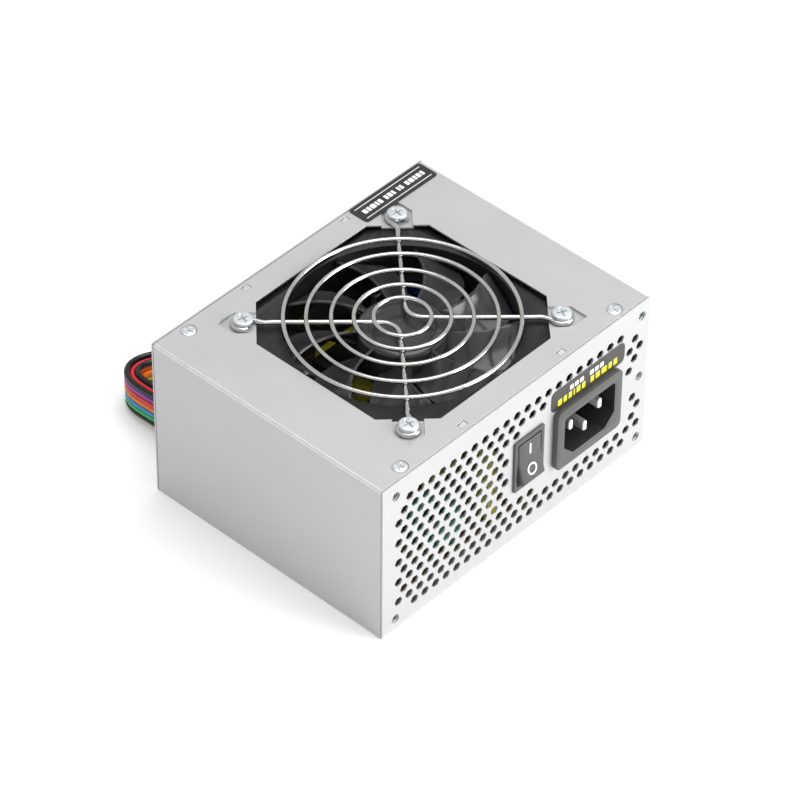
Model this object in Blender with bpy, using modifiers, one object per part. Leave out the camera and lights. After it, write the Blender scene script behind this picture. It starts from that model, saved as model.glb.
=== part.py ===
"""Compact power supply unit: a sheet-metal case with a fan under a wire grille, a mains inlet and
a rocker switch beside a honeycomb vent, the circuit board with its parts, and the main output
lead folded into a tied hank with its connector.

Metres, +Z up. The origin is the middle of the bottom face. +X runs along the width, the inlet
faces -Y, and the output lead leaves the +Y face.
"""

import math

import bmesh
import bpy
from mathutils import Matrix, Vector

# Case
WIDTH, DEPTH, HEIGHT = 0.125, 0.100, 0.0635
SHEET = 0.0006
BEND = 0.0009  # outer radius of a bend in the sheet
SEAM = 0.00025  # gap where the cover meets the base
GAP = 0.0003  # gap between pieces that touch
SEAT = 0.0001  # gap under a flange that sits on a panel
FLANGE_DEPTH = 0.0065
SIDE_X, FACE_Y = WIDTH / 2, DEPTH / 2

# Honeycomb vent: rows of holes seen from outside, as runs of (first, last) hole in the row
VENT_PITCH, VENT_ROW, VENT_FLAT = 0.00493, 0.00424, 0.00306
VENT_LEFT, VENT_TOP = -0.05517, 0.0542
VENT_ROWS = (
    ((1, 21),),
    ((0, 13), (22, 22)),
    ((0, 11), (22, 23)),
    ((0, 9), (22, 22)),
    ((0, 10), (22, 22)),
    ((0, 9),),
    ((0, 10),),
    ((0, 9), (22, 22)),
    ((0, 10), (23, 23)),
    ((0, 12), (22, 22)),
    ((0, 23),),
    ((1, 21),),
)
MOUNT_HOLES = (
    (-0.0565, 0.0580),
    (-0.0565, 0.0051),
    (0.0587, 0.0577),
    (0.0587, 0.0318),
    (0.0587, 0.0051),
)
MOUNT_HOLE_R = 0.00175

# Cover
COVER_SCREWS = ((-0.050, 0.0458), (-0.050, -0.0455), (0.050, -0.0455), (0.050, 0.0448))
COVER_SCREW_R = 0.0025
LANCES = ((-0.0230, 0.0471), (0.0230, 0.0471), (-0.0230, -0.0466), (0.0230, -0.0466))
LANCE_SIZE = (0.0032, 0.0022)
OPENING, OPENING_CHAMFER = 0.080, 0.0144
POCKET_DEPTH = 0.0010
POCKET_OUTER, POCKET_SHORT, POCKET_INNER = 0.0415, 0.0344, 0.02925

# Fan
FAN_SIZE, FAN_THICK, FAN_BORE_R = 0.080, 0.015, 0.0385
FAN_HOLE = 0.03575  # half the distance between two fan screws
FAN_TOP = HEIGHT - POCKET_DEPTH - SHEET - GAP
FAN_BOTTOM = FAN_TOP - FAN_THICK
HUB_R, HUB_TOP = 0.0147, FAN_TOP - 0.0004
BLADES, BLADE_TIP_R = 9, 0.0378
BLADE_CHORD, BLADE_SWEEP = math.radians(29), math.radians(15)
BLADE_START, BLADE_THICK = math.radians(145), 0.0009
FAN_SCREW_R, FAN_SCREW_HEAD = 0.0033, 0.0013

# Wire grille
RING_RADII = (0.0092, 0.0155, 0.0227, 0.0306, 0.0379)
RING_WIRE_R, SPOKE_WIRE_R = 0.00075, 0.00085
SPOKE_Z = HEIGHT - POCKET_DEPTH + SEAT + SPOKE_WIRE_R
RING_Z = SPOKE_Z + SPOKE_WIRE_R + RING_WIRE_R - 0.00025
EYELET_R = 0.0033

# Mains inlet
INLET_X, INLET_Z = 0.0322, 0.0314
INLET_FLANGE, INLET_FLANGE_THICK = (0.0312, 0.0246), 0.0020
INLET_BODY, INLET_CAVITY = (0.0276, 0.0204), (0.0243, 0.0172)
INLET_BODY_DEPTH, INLET_FLOOR = 0.0170, 0.0150
PIN_SPREAD, PIN_Z, EARTH_Z = 0.0070, 0.0330, 0.0279

# Rocker switch
SWITCH_X, SWITCH_Z = 0.0047, 0.0325
BEZEL, BEZEL_THICK = (0.0140, 0.0213), 0.0007
SWITCH_BODY = (0.0124, 0.0190)
SWITCH_CAVITY = (0.0112, 0.0179)
ROCKER_WIDTH = 0.0106
ROCKER_PIVOT_DEPTH = 0.0015
ROCKER_TILT = math.radians(8.5)  # either side of level

# Labels
LABEL = ((0.0153, 0.0505), (0.0440, 0.0524))
SEAL = ((0.0268, 0.06075), (0.0405, 0.04925))
STICKER, STICKER_GAP = 0.0002, 0.00005

# Circuit board
BOARD_X, BOARD_Y = 0.057, (-0.0445, 0.0450)
BOARD_Z, BOARD_THICK = 0.0060, 0.0016
BOARD_TOP = BOARD_Z + BOARD_THICK
STANDOFFS = ((-0.0520, -0.0390), (0.0520, -0.0390), (-0.0530, 0.0360), (0.0535, 0.0415))

# Output lead: the middle of the band of wires, from the grommet to where it fans out
BAND_THICK, BAND_HEIGHT = 0.0074, 0.0144
EXIT_X, EXIT_Z = -0.0408, 0.0106
LEAD_ROUTE = (
    (-0.0408, 0.0512, 0.0106),
    (-0.0408, 0.0600, 0.0101),
    (-0.0408, 0.0680, 0.0096),
    (-0.0408, 0.0750, 0.0092),
    (-0.0405, 0.0800, 0.0088),
    (-0.0389, 0.0840, 0.0083),
    (-0.0354, 0.0861, 0.0078),
    (-0.0314, 0.0856, 0.0075),
    (-0.0280, 0.0838, 0.0074),
    (-0.0245, 0.0828, 0.0074),
    (-0.0213, 0.0826, 0.0074),
)
HANK_X, HANK_Y = (-0.0205, 0.0500), (0.0507, 0.0864)
HANK_LOW, HANK_HIGH = 0.0002, 0.0152
WAIST_X, WAIST_Y = 0.0050, (0.0566, 0.0804)
LAST_RUN_Y = 0.0548
TIE_WIDTH, TIE_THICK = 0.0025, 0.0008
FAN_OUT_X = (0.0640, 0.0842)
CONNECTOR_X, CONNECTOR_Y = (0.0845, 0.0983), (0.0376, 0.0892)
CONNECTOR_HEIGHT = 0.0096
CAVITY_PITCH = 0.0042


def clear_scene():
    for obj in list(bpy.data.objects):
        bpy.data.objects.remove(obj, do_unlink=True)


def new_collection(name):
    group = bpy.data.collections.new(name)
    bpy.context.scene.collection.children.link(group)
    return group


clear_scene()
PARTS = new_collection("power_supply_unit")
CUTTERS = new_collection("cutters")


def finish(name, colour, roughness, metallic=0.0):
    """A Principled material, made once for each name."""
    material = bpy.data.materials.get(name)
    if material is None:
        material = bpy.data.materials.new(name)
        material.use_nodes = True
        shader = material.node_tree.nodes["Principled BSDF"]
        shader.inputs["Base Color"].default_value = (*colour, 1.0)
        shader.inputs["Roughness"].default_value = roughness
        shader.inputs["Metallic"].default_value = metallic
    return material


STEEL = finish("zinc_plated_steel", (0.62, 0.62, 0.64), 0.45, 0.9)
BRIGHT = finish("bright_plated_wire", (0.75, 0.75, 0.75), 0.2, 1.0)
BLACK = finish("black_plastic", (0.012, 0.012, 0.013), 0.4)
SMOKE = finish("smoke_plastic", (0.03, 0.03, 0.032), 0.25)
GREY = finish("dark_grey_plastic", (0.09, 0.09, 0.095), 0.45)
COPPER = finish("enamelled_copper", (0.55, 0.22, 0.08), 0.35, 0.8)
BRASS = finish("nickel_plated_brass", (0.7, 0.68, 0.62), 0.3, 1.0)
BOARD = finish("paper_laminate", (0.45, 0.33, 0.18), 0.6)
GREEN_BOARD = finish("green_laminate", (0.02, 0.16, 0.06), 0.4)
FERRITE = finish("ferrite", (0.03, 0.03, 0.032), 0.7)
TAPE = finish("yellow_tape", (0.6, 0.5, 0.05), 0.4)
ALUMINIUM = finish("mill_aluminium", (0.6, 0.6, 0.58), 0.4, 0.9)
BLUE = finish("blue_sleeve", (0.01, 0.08, 0.45), 0.35)
GREEN = finish("green_coated_core", (0.05, 0.25, 0.12), 0.4)
CLEAR = finish("insulation_film", (0.5, 0.5, 0.48), 0.3)
RUBBER = finish("black_rubber", (0.015, 0.015, 0.015), 0.7)
CREAM = finish("natural_nylon", (0.65, 0.62, 0.52), 0.45)
BROWN = finish("brown_insulation", (0.12, 0.04, 0.015), 0.5)
EARTH = finish("earth_insulation", (0.25, 0.4, 0.02), 0.5)


def keep(name, mesh, material, group=None, place=Matrix.Identity(4)):
    """An object from a mesh: a part, or a hidden cutter when group is CUTTERS."""
    obj = bpy.data.objects.new(name, mesh)
    (group or PARTS).objects.link(obj)
    obj.matrix_world = place
    if material:
        mesh.materials.append(material)
    if group is CUTTERS:
        obj.hide_render = True
        obj.display_type = "WIRE"
    return obj


def mesh_of(bm, name):
    mesh = bpy.data.meshes.new(name)
    bmesh.ops.recalc_face_normals(bm, faces=bm.faces)
    bm.to_mesh(mesh)
    bm.free()
    return mesh


def smooth(obj, angle=35):
    obj.data.shade_smooth()
    obj.data.set_sharp_from_angle(angle=math.radians(angle))
    return obj


def block(name, low, high, material=None, group=None):
    low, high = Vector(low), Vector(high)
    bm = bmesh.new()
    bmesh.ops.create_cube(bm, size=1.0, matrix=Matrix.Diagonal((*(high - low), 1.0)))
    place = Matrix.Translation((low + high) / 2)
    return keep(name, mesh_of(bm, name), material, group, place)


TURN = {
    "X": Matrix.Rotation(math.pi / 2, 4, "Y"),
    "Y": Matrix.Rotation(-math.pi / 2, 4, "X"),
    "Z": Matrix.Identity(4),
}


def rod(name, radius, centre, length, axis="Z", sides=16, material=None, group=None):
    bm = bmesh.new()
    bmesh.ops.create_cone(
        bm,
        cap_ends=True,
        segments=sides,
        radius1=radius,
        radius2=radius,
        depth=length,
        matrix=TURN[axis],
    )
    obj = keep(name, mesh_of(bm, name), material, group, Matrix.Translation(centre))
    return smooth(obj)


def baked(obj, group=None):
    """Swap a curve or a modified object for the welded mesh that it makes."""
    bpy.context.view_layer.update()
    graph = bpy.context.evaluated_depsgraph_get()
    name, place = obj.name, obj.matrix_world.copy()
    made = bpy.data.meshes.new_from_object(obj.evaluated_get(graph))
    bm = bmesh.new()
    bm.from_mesh(made)
    bmesh.ops.remove_doubles(bm, verts=bm.verts, dist=2e-6)
    bmesh.ops.recalc_face_normals(bm, faces=bm.faces)
    bm.to_mesh(made)
    bm.free()
    bpy.data.objects.remove(obj, do_unlink=True)
    return keep(name, made, None, group, place)


# How a flat outline stands: the curve's X and Y go to these axes, its thickness to the third
PLANES = {
    "XY": Matrix.Identity(4),
    "XZ": Matrix(((1, 0, 0, 0), (0, 0, -1, 0), (0, 1, 0, 0), (0, 0, 0, 1))),
    "YZ": Matrix(((0, 0, 1, 0), (1, 0, 0, 0), (0, 1, 0, 0), (0, 0, 0, 1))),
}


def plate(name, outlines, span, plane="XY", material=None, group=None):
    """Flat outlines, the outer one first and its holes after, given thickness across the plane."""
    curve = bpy.data.curves.new(name, "CURVE")
    curve.dimensions = "2D"
    curve.fill_mode = "BOTH"
    curve.extrude = (span[1] - span[0]) / 2
    for points in outlines:
        spline = curve.splines.new("POLY")
        spline.points.add(len(points) - 1)
        for point, (u, v) in zip(spline.points, points):
            point.co = (u, v, 0.0, 1.0)
        spline.use_cyclic_u = True
    if material:
        curve.materials.append(material)
    obj = bpy.data.objects.new(name, curve)
    (group or PARTS).objects.link(obj)
    middle = (span[0] + span[1]) / 2
    across = {"XY": (0, 0, middle), "XZ": (0, middle, 0), "YZ": (middle, 0, 0)}[plane]
    obj.matrix_world = Matrix.Translation(across) @ PLANES[plane]
    return baked(obj, group)


def tube(name, points, radius, material, group=None, closed=False, sides=2):
    """A wire of round section along its points."""
    curve = bpy.data.curves.new(name, "CURVE")
    curve.dimensions = "3D"
    curve.bevel_depth = radius
    curve.bevel_resolution = sides
    curve.use_fill_caps = not closed
    spline = curve.splines.new("POLY")
    spline.points.add(len(points) - 1)
    for point, place in zip(spline.points, points):
        point.co = (*place, 1.0)
    spline.use_cyclic_u = closed
    curve.materials.append(material)
    obj = bpy.data.objects.new(name, curve)
    (group or PARTS).objects.link(obj)
    return smooth(baked(obj, group), 60)


def turned(name, profile, material, place, sides=24, group=None):
    """A profile of (radius, height), top to bottom down its outer side, turned about Z."""
    mesh = bpy.data.meshes.new(name)
    closed = profile[0][0] > 0
    edges = [(i, i + 1) for i in range(len(profile) - 1)]
    if closed:
        edges.append((len(profile) - 1, 0))
    mesh.from_pydata([(r, 0.0, z) for r, z in profile], edges, [])
    obj = keep(name, mesh, material, group, place)
    screw = obj.modifiers.new("turn", "SCREW")
    screw.axis = "Z"
    screw.steps = screw.render_steps = sides
    screw.use_merge_vertices = True
    screw.merge_threshold = 0.00001
    screw.use_smooth_shade = True
    return obj


def boolean(obj, operation, others):
    for other in others:
        modifier = obj.modifiers.new(operation.lower(), "BOOLEAN")
        modifier.operation = operation
        modifier.solver = "EXACT"
        modifier.object = other
    return obj


def cut(obj, *others):
    return boolean(obj, "DIFFERENCE", others)


def join(obj, *others):
    return boolean(obj, "UNION", others)


def rounded(obj, width, segments=2, angle=40):
    bevel = obj.modifiers.new("edges", "BEVEL")
    bevel.width = width
    bevel.segments = segments
    bevel.limit_method = "ANGLE"
    bevel.angle_limit = math.radians(angle)
    return obj


def ring_of(radius, sides, centre=(0.0, 0.0), turn=0.0):
    steps = (turn + math.tau * i / sides for i in range(sides))
    return [(centre[0] + radius * math.cos(a), centre[1] + radius * math.sin(a)) for a in steps]


def arc(centre, radius, start, end, steps):
    """Points on an arc, its angles in degrees."""
    angles = (math.radians(start + (end - start) * i / steps) for i in range(steps + 1))
    return [(centre[0] + radius * math.cos(a), centre[1] + radius * math.sin(a)) for a in angles]


def rectangle(centre, size, radius=0.0, steps=3, chamfer=0.0):
    """A rectangle with round corners; chamfer cuts the two lower ones instead."""
    half_u, half_v = size[0] / 2, size[1] / 2
    u, v = centre
    low = [(u - half_u, v - half_v + chamfer), (u - half_u + chamfer, v - half_v)]
    low += [(u + half_u - chamfer, v - half_v), (u + half_u, v - half_v + chamfer)]
    corners = ((1, 1, 0), (-1, 1, 90), (-1, -1, 180), (1, -1, 270))
    points = []
    for side_u, side_v, start in corners:
        if chamfer and side_v < 0:
            points += low[0:2] if side_u < 0 else low[2:4]
            continue
        middle = (u + side_u * (half_u - radius), v + side_v * (half_v - radius))
        points += arc(middle, radius, start, start + 90, steps) if radius else [middle]
    return points


def smooth_path(route, step):
    """Points about a step apart on a smooth curve through the route's own points."""
    ends = [route[0], *route, route[-1]]
    path = [Vector(route[0])]
    for before, start, end, after in zip(ends, ends[1:], ends[2:], ends[3:]):
        before, start, end, after = map(Vector, (before, start, end, after))
        count = max(1, round((end - start).length / step))
        for i in range(1, count + 1):
            t = i / count
            path.append(
                0.5
                * (
                    2 * start
                    + (end - before) * t
                    + (2 * before - 5 * start + 4 * end - after) * t * t
                    + (3 * start - before - 3 * end + after) * t**3
                )
            )
    return path


def screw_profile(head_r, head_height, shank_r, length, countersunk=False):
    if countersunk:
        head = [(0.0, 0.0), (head_r, 0.0), (head_r, -0.0002), (shank_r, -head_height)]
    else:
        head = [(0.0, head_height), (0.6 * head_r, head_height), (head_r, 0.45 * head_height)]
        head += [(head_r, 0.0), (shank_r, 0.0)]
    return head + [(shank_r, -length), (0.0, -length)]


# ---------------------------------------------------------------------------- case


def vent_centres():
    for row, runs in enumerate(VENT_ROWS):
        offset = VENT_PITCH / 2 if row % 2 else 0.0
        for first, last in runs:
            for i in range(first, last + 1):
                yield VENT_LEFT + offset + i * VENT_PITCH, VENT_TOP - row * VENT_ROW


def vent_cutter():
    """Every honeycomb hole as one cutter of six-sided rods."""
    bm = bmesh.new()
    radius = VENT_FLAT / math.sqrt(3)
    upright = Matrix.Rotation(math.pi / 6, 4, "Y") @ TURN["Y"]
    for x, z in vent_centres():
        bmesh.ops.create_cone(
            bm,
            cap_ends=True,
            segments=6,
            radius1=radius,
            radius2=radius,
            depth=0.004,
            matrix=Matrix.Translation((x, -FACE_Y, z)) @ upright,
        )
    return keep("vent_cutter", mesh_of(bm, "vent_cutter"), None, CUTTERS)


def base_outline():
    """Rear wall, floor and front wall as one folded sheet, seen along X."""
    y, inner = FACE_Y, FACE_Y - SHEET
    outer = [(-y, HEIGHT)] + arc((-y + BEND, BEND), BEND, 180, 270, 3)
    outer += arc((y - BEND, BEND), BEND, 270, 360, 3) + [(y, HEIGHT)]
    inside = [(inner, HEIGHT), (inner, SHEET), (-inner, SHEET), (-inner, HEIGHT)]
    return outer + inside


def base_shell():
    shell = plate("base_shell", [base_outline()], (-SIDE_X, SIDE_X), "YZ", STEEL)
    # The cover's sides lie outside the floor, so the floor stops short of them
    inner_x = SIDE_X - SHEET - SEAM
    inner_y = FACE_Y - SHEET
    for name, side in (("left", -1), ("right", 1)):
        low = (min(side * inner_x, side * 0.07), -inner_y, -0.001)
        high = (max(side * inner_x, side * 0.07), inner_y, HEIGHT + 0.001)
        cut(shell, block(f"cover_{name}_cutter", low, high, group=CUTTERS))
    flange_top = HEIGHT - SHEET - SEAM
    overlap = 0.0003
    for name, side in (("rear", -1), ("front", 1)):
        near, far = side * (inner_y - FLANGE_DEPTH), side * (inner_y + overlap)
        low = (-inner_x + 0.002, min(near, far), flange_top - SHEET)
        high = (inner_x - 0.002, max(near, far), flange_top)
        join(shell, block(f"{name}_flange", low, high, group=CUTTERS))
    for name, side in (("left", -1), ("right", 1)):
        outer, inner = side * inner_x, side * (inner_x - SHEET)
        low = (min(outer, inner), -inner_y + 0.003, SHEET / 2)
        high = (max(outer, inner), inner_y - 0.003, 0.008)
        join(shell, block(f"{name}_lip", low, high, group=CUTTERS))
    for i, (x, y) in enumerate(STANDOFFS, 1):
        top = BOARD_Z - GAP
        centre = (x, y, (SHEET / 2 + top) / 2)
        post = rod(f"standoff_{i}", 0.00275, centre, top - SHEET / 2, sides=6, group=CUTTERS)
        join(shell, post)
        middle = (x, y, (SHEET + top) / 2 + 0.0005)
        cut(shell, rod(f"standoff_bore_{i}", 0.0015, middle, top - SHEET, sides=8, group=CUTTERS))
    cut(shell, vent_cutter())
    for i, (x, z) in enumerate(MOUNT_HOLES, 1):
        centre = (x, -FACE_Y, z)
        hole = rod(f"mount_hole_{i}", MOUNT_HOLE_R, centre, 0.004, "Y", 12, group=CUTTERS)
        cut(shell, hole)
    for i, (x, y) in enumerate(COVER_SCREWS, 1):
        centre = (x, y, flange_top)
        cut(shell, rod(f"flange_hole_{i}", 0.0023, centre, 0.004, sides=8, group=CUTTERS))
    inlet_hole = rectangle(
        (INLET_X, INLET_Z), (INLET_BODY[0] + 2 * GAP, INLET_BODY[1] + 2 * GAP), chamfer=0.0052
    )
    switch_hole = rectangle(
        (SWITCH_X, SWITCH_Z), (SWITCH_BODY[0] + 2 * GAP, SWITCH_BODY[1] + 2 * GAP)
    )
    lead_hole = rectangle(
        (EXIT_X, EXIT_Z), (BAND_THICK + 0.0036, BAND_HEIGHT + 0.0036), 0.002, 2
    )
    rear, front = (-FACE_Y - 0.002, -FACE_Y + 0.002), (FACE_Y - 0.002, FACE_Y + 0.002)
    cut(shell, plate("inlet_hole", [inlet_hole], rear, "XZ", group=CUTTERS))
    cut(shell, plate("switch_hole", [switch_hole], rear, "XZ", group=CUTTERS))
    cut(shell, plate("lead_hole", [lead_hole], front, "XZ", group=CUTTERS))
    return shell


def pocket_outline(side_x, side_y, grow=0.0):
    """The pressed corner around a fan screw, open towards the fan."""
    outer, short, inner = POCKET_OUTER + grow, POCKET_SHORT + 0.4 * grow, POCKET_INNER
    far = 0.004  # how far the outline runs on into the opening
    points = [
        (outer, outer),
        (short, outer),
        (inner - grow - far, outer - (short - inner) - far - grow),
        (outer - (short - inner) - far - grow, inner - grow - far),
        (outer, short),
    ]
    points = [(side_x * x, side_y * y) for x, y in points]
    return points if side_x * side_y > 0 else points[::-1]


def opening_outline():
    half, corner = OPENING / 2, OPENING / 2 - OPENING_CHAMFER
    quarter = [(half, corner), (corner, half)]
    points = []
    for i in range(4):
        turn = Matrix.Rotation(i * math.pi / 2, 2)
        points += [tuple(turn @ Vector(p)) for p in quarter]
    return points


def top_cover():
    """Top and both sides as one folded sheet, seen along Y."""
    x, inner = SIDE_X, SIDE_X - SHEET
    outline = [(x, 0.0)] + arc((x - BEND, HEIGHT - BEND), BEND, 0, 90, 3)
    outline += arc((-x + BEND, HEIGHT - BEND), BEND, 90, 180, 3) + [(-x, 0.0), (-inner, 0.0)]
    outline += [(-inner, HEIGHT - SHEET), (inner, HEIGHT - SHEET), (inner, 0.0)]
    edge_y = FACE_Y - SHEET - SEAM
    cover = plate("top_cover", [outline], (-edge_y, edge_y), "XZ", STEEL)
    floor_z = HEIGHT - POCKET_DEPTH
    corners = [(sx, sy) for sx in (-1, 1) for sy in (-1, 1)]
    for i, (sx, sy) in enumerate(corners, 1):
        cup = pocket_outline(sx, sy, SHEET)
        span = (floor_z - SHEET, HEIGHT - SHEET / 2)
        join(cover, plate(f"pocket_cup_{i}", [cup], span, group=CUTTERS))
    for i, (sx, sy) in enumerate(corners, 1):
        hollow = pocket_outline(sx, sy)
        span = (floor_z, HEIGHT + 0.001)
        cut(cover, plate(f"pocket_hollow_{i}", [hollow], span, group=CUTTERS))
        centre = (sx * FAN_HOLE, sy * FAN_HOLE, floor_z)
        cut(cover, rod(f"fan_screw_hole_{i}", 0.0022, centre, 0.004, sides=12, group=CUTTERS))
    span = (HEIGHT - 0.004, HEIGHT + 0.001)
    cut(cover, plate("fan_opening", [opening_outline()], span, group=CUTTERS))
    for i, (x, y) in enumerate(COVER_SCREWS, 1):
        centre = (x, y, HEIGHT)
        cut(cover, rod(f"cover_hole_{i}", 0.0018, centre, 0.004, sides=12, group=CUTTERS))
        sink_r = COVER_SCREW_R + GAP
        sink = [(0.0, 0.0005), (sink_r, 0.0005), (sink_r, -0.0003), (sink_r - 0.0008, -0.0010)]
        sink.append((0.0, -0.0010))
        place = Matrix.Translation((x, y, HEIGHT))
        cut(cover, turned(f"countersink_{i}", sink, None, place, 12, CUTTERS))
    for i, (x, y) in enumerate(LANCES, 1):
        low = (x - LANCE_SIZE[0] / 2, y - LANCE_SIZE[1] / 2, HEIGHT - 0.002)
        high = (x + LANCE_SIZE[0] / 2, y + LANCE_SIZE[1] / 2, HEIGHT + 0.002)
        cut(cover, block(f"lance_{i}", low, high, group=CUTTERS))
    return cover


def cover_screws():
    profile = screw_profile(COVER_SCREW_R, 0.0012, 0.0014, 0.0050, True)
    for i, (x, y) in enumerate(COVER_SCREWS, 1):
        place = Matrix.Translation((x, y, HEIGHT - 0.0001))
        turned(f"cover_screw_{i}", profile, STEEL, place, 12)


def stickers():
    (x0, x1), (z0, z1) = LABEL
    outline = rectangle(((x0 + x1) / 2, (z0 + z1) / 2), (x1 - x0, z1 - z0), 0.002)
    back = -FACE_Y - STICKER_GAP
    plate("inlet_label", [outline], (back - STICKER, back), "XZ", GREY)
    (x0, x1), (y0, y1) = SEAL
    outline = rectangle(((x0 + x1) / 2, (y0 + y1) / 2), (x1 - x0, y1 - y0), 0.0012)
    back = HEIGHT + STICKER_GAP
    plate("seal_sticker", [outline], (back, back + STICKER), "XY", BLACK)


# ---------------------------------------------------------------------------- fan


def fan_frame():
    outline = rectangle((0.0, 0.0), (FAN_SIZE, FAN_SIZE), 0.004)
    frame = plate("fan_frame", [outline], (FAN_BOTTOM, FAN_TOP), "XY", BLACK)
    flange = 0.003
    waist = [rectangle((0, 0), (0.09, 0.09)), ring_of(FAN_BORE_R + 0.0012, 32)]
    span = (FAN_BOTTOM + flange, FAN_TOP - flange)
    cut(frame, plate("fan_waist", waist, span, group=CUTTERS))
    middle = (FAN_BOTTOM + FAN_TOP) / 2
    cut(frame, rod("fan_bore", FAN_BORE_R, (0, 0, middle), 0.02, sides=48, group=CUTTERS))
    for i in range(4):
        angle = math.radians(45 + 90 * i)
        radius = FAN_HOLE * math.sqrt(2)
        centre = (radius * math.cos(angle), radius * math.sin(angle), middle)
        cut(frame, rod(f"fan_hole_{i}", 0.0021, centre, 0.02, sides=10, group=CUTTERS))
    motor_low, motor_top = FAN_BOTTOM + 0.0002, FAN_BOTTOM + 0.0015
    centre = (0, 0, (motor_low + motor_top) / 2)
    thick = motor_top - motor_low
    join(frame, rod("motor_plate", 0.0150, centre, thick, sides=24, group=CUTTERS))
    for i in range(4):
        low, high = (0.0140, -0.0015, motor_low + 0.0001), (0.0391, 0.0015, motor_top + 0.0007)
        strut = block(f"strut_{i}", low, high, group=CUTTERS)
        turn = Matrix.Rotation(math.radians(90 * i + 20), 4, "Z")
        strut.matrix_world = turn @ Matrix.Translation((Vector(low) + Vector(high)) / 2)
        join(frame, strut)
    low, high = motor_low + 0.0005, FAN_BOTTOM + 0.0085
    centre = (0, 0, (low + high) / 2)
    join(frame, rod("bearing_holder", 0.0045, centre, high - low, sides=16, group=CUTTERS))
    bore = (0, 0, motor_top + 0.006)
    cut(frame, rod("bearing_bore", 0.0033, bore, 0.012, sides=16, group=CUTTERS))
    return frame


def blade_mesh(index):
    """One swept blade: high at its leading edge, low at its trailing edge, and thin."""
    across, along = 3, 3
    root_r = HUB_R - 0.0006
    root_drop, tip_rise = 0.0088, 0.0012
    bm = bmesh.new()
    rows = []
    for i in range(across + 1):
        share = i / across
        radius = root_r + (BLADE_TIP_R - root_r) * share
        lead = BLADE_START + math.tau * index / BLADES + BLADE_SWEEP * share**2
        row = []
        for j in range(along + 1):
            back = j / along
            angle = lead - BLADE_CHORD * back
            drop = (root_drop - tip_rise * share) * math.sin(back * math.pi / 2 * 0.96)
            top = HUB_TOP - 0.0004 - drop
            row.append(bm.verts.new((radius * math.cos(angle), radius * math.sin(angle), top)))
        rows.append(row)
    for inner, outer in zip(rows, rows[1:]):
        for j in range(along):
            bm.faces.new((inner[j + 1], outer[j + 1], outer[j], inner[j]))
    bmesh.ops.recalc_face_normals(bm, faces=bm.faces)
    surface = bm.faces[:]
    if surface[0].normal.z < 0:
        bmesh.ops.reverse_faces(bm, faces=surface)
    bmesh.ops.solidify(bm, geom=surface, thickness=BLADE_THICK)
    return mesh_of(bm, f"blade_{index}")


def fan_rotor():
    wall, top = 0.0012, 0.0012
    inner_r = HUB_R - wall
    low = HUB_TOP - 0.0110
    profile = [
        (0.0, HUB_TOP),
        (HUB_R - 0.0016, HUB_TOP),
        (HUB_R, HUB_TOP - 0.0012),
        (HUB_R, low),
        (inner_r, low),
        (inner_r, HUB_TOP - top),
        (0.0034, HUB_TOP - top),
        (0.0034, HUB_TOP - 0.0030),
        (0.0015, HUB_TOP - 0.0030),
        (0.0015, HUB_TOP - top),
        (0.0, HUB_TOP - top),
    ]
    rotor = turned("fan_rotor", profile, SMOKE, Matrix.Identity(4), 28)
    rotor = baked(rotor)
    rotor.data.materials.clear()
    rotor.data.materials.append(SMOKE)
    # The blades' roots end inside the hub's wall, so each one joins onto it
    for i in range(BLADES):
        join(rotor, keep(f"blade_{i}", blade_mesh(i), None, CUTTERS))
    return smooth(rotor)


def fan_motor():
    top, low = HUB_TOP - 0.0018, HUB_TOP - 0.0105
    ring = [(0.0132, top), (0.0132, low), (0.0119, low), (0.0119, top)]
    turned("rotor_magnet", ring, FERRITE, Matrix.Identity(4), 24)
    centre = (0.0, 0.0, (HUB_TOP - 0.0015 + FAN_BOTTOM + 0.0018) / 2)
    length = HUB_TOP - 0.0015 - FAN_BOTTOM - 0.0018
    rod("fan_shaft", 0.0012, centre, length, sides=10, material=BRASS)
    low = FAN_BOTTOM + 0.0020
    sleeve = [(0.0030, low + 0.0060), (0.0030, low), (0.0015, low), (0.0015, low + 0.0060)]
    turned("fan_bearing", sleeve, COPPER, Matrix.Identity(4), 12)
    low, high = FAN_BOTTOM + 0.0021, HUB_TOP - 0.0034
    outline = []
    for i in range(4):
        start = 90 * i - 32
        outline += arc((0, 0), 0.0113, start, start + 64, 3)
        outline += arc((0, 0), 0.0070, start + 78, start + 78, 1)[:1]
    plate("fan_stator", [outline, ring_of(0.0049, 12)], (low, high), "XY", COPPER)


def fan_screws():
    head_z = SPOKE_Z + SPOKE_WIRE_R + SEAT
    profile = screw_profile(FAN_SCREW_R, FAN_SCREW_HEAD, 0.0017, 0.0085)
    for i, (sx, sy) in enumerate(((-1, -1), (1, -1), (-1, 1), (1, 1)), 1):
        place = Matrix.Translation((sx * FAN_HOLE, sy * FAN_HOLE, head_z))
        turned(f"fan_screw_{i}", profile, STEEL, place, 14)


def spoke_points(side):
    """A V of wire from one corner eyelet over the hub to the other, on one side of the fan."""
    tip_x, tip_half = 0.0032, 0.0030
    screw = Vector((FAN_HOLE, FAN_HOLE))
    towards = Vector((-1, -1)).normalized()
    start_angle = math.degrees(math.atan2(towards.y, towards.x))
    loop = [
        screw + EYELET_R * Vector((math.cos(math.radians(a)), math.sin(math.radians(a))))
        for a in (start_angle - 28 + 38 * i for i in range(-7, 1))
    ]
    neck = screw + towards * (EYELET_R + 0.0042)
    elbow = [Vector((tip_x + 0.0040, tip_half + 0.0040)), Vector((tip_x + 0.0012, tip_half + 0.0006))]
    upper = [*loop, neck, *elbow]
    lower = [Vector((p.x, -p.y)) for p in reversed(upper)]
    return [(side * p.x, p.y, SPOKE_Z) for p in [*upper, *lower]]


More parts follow.
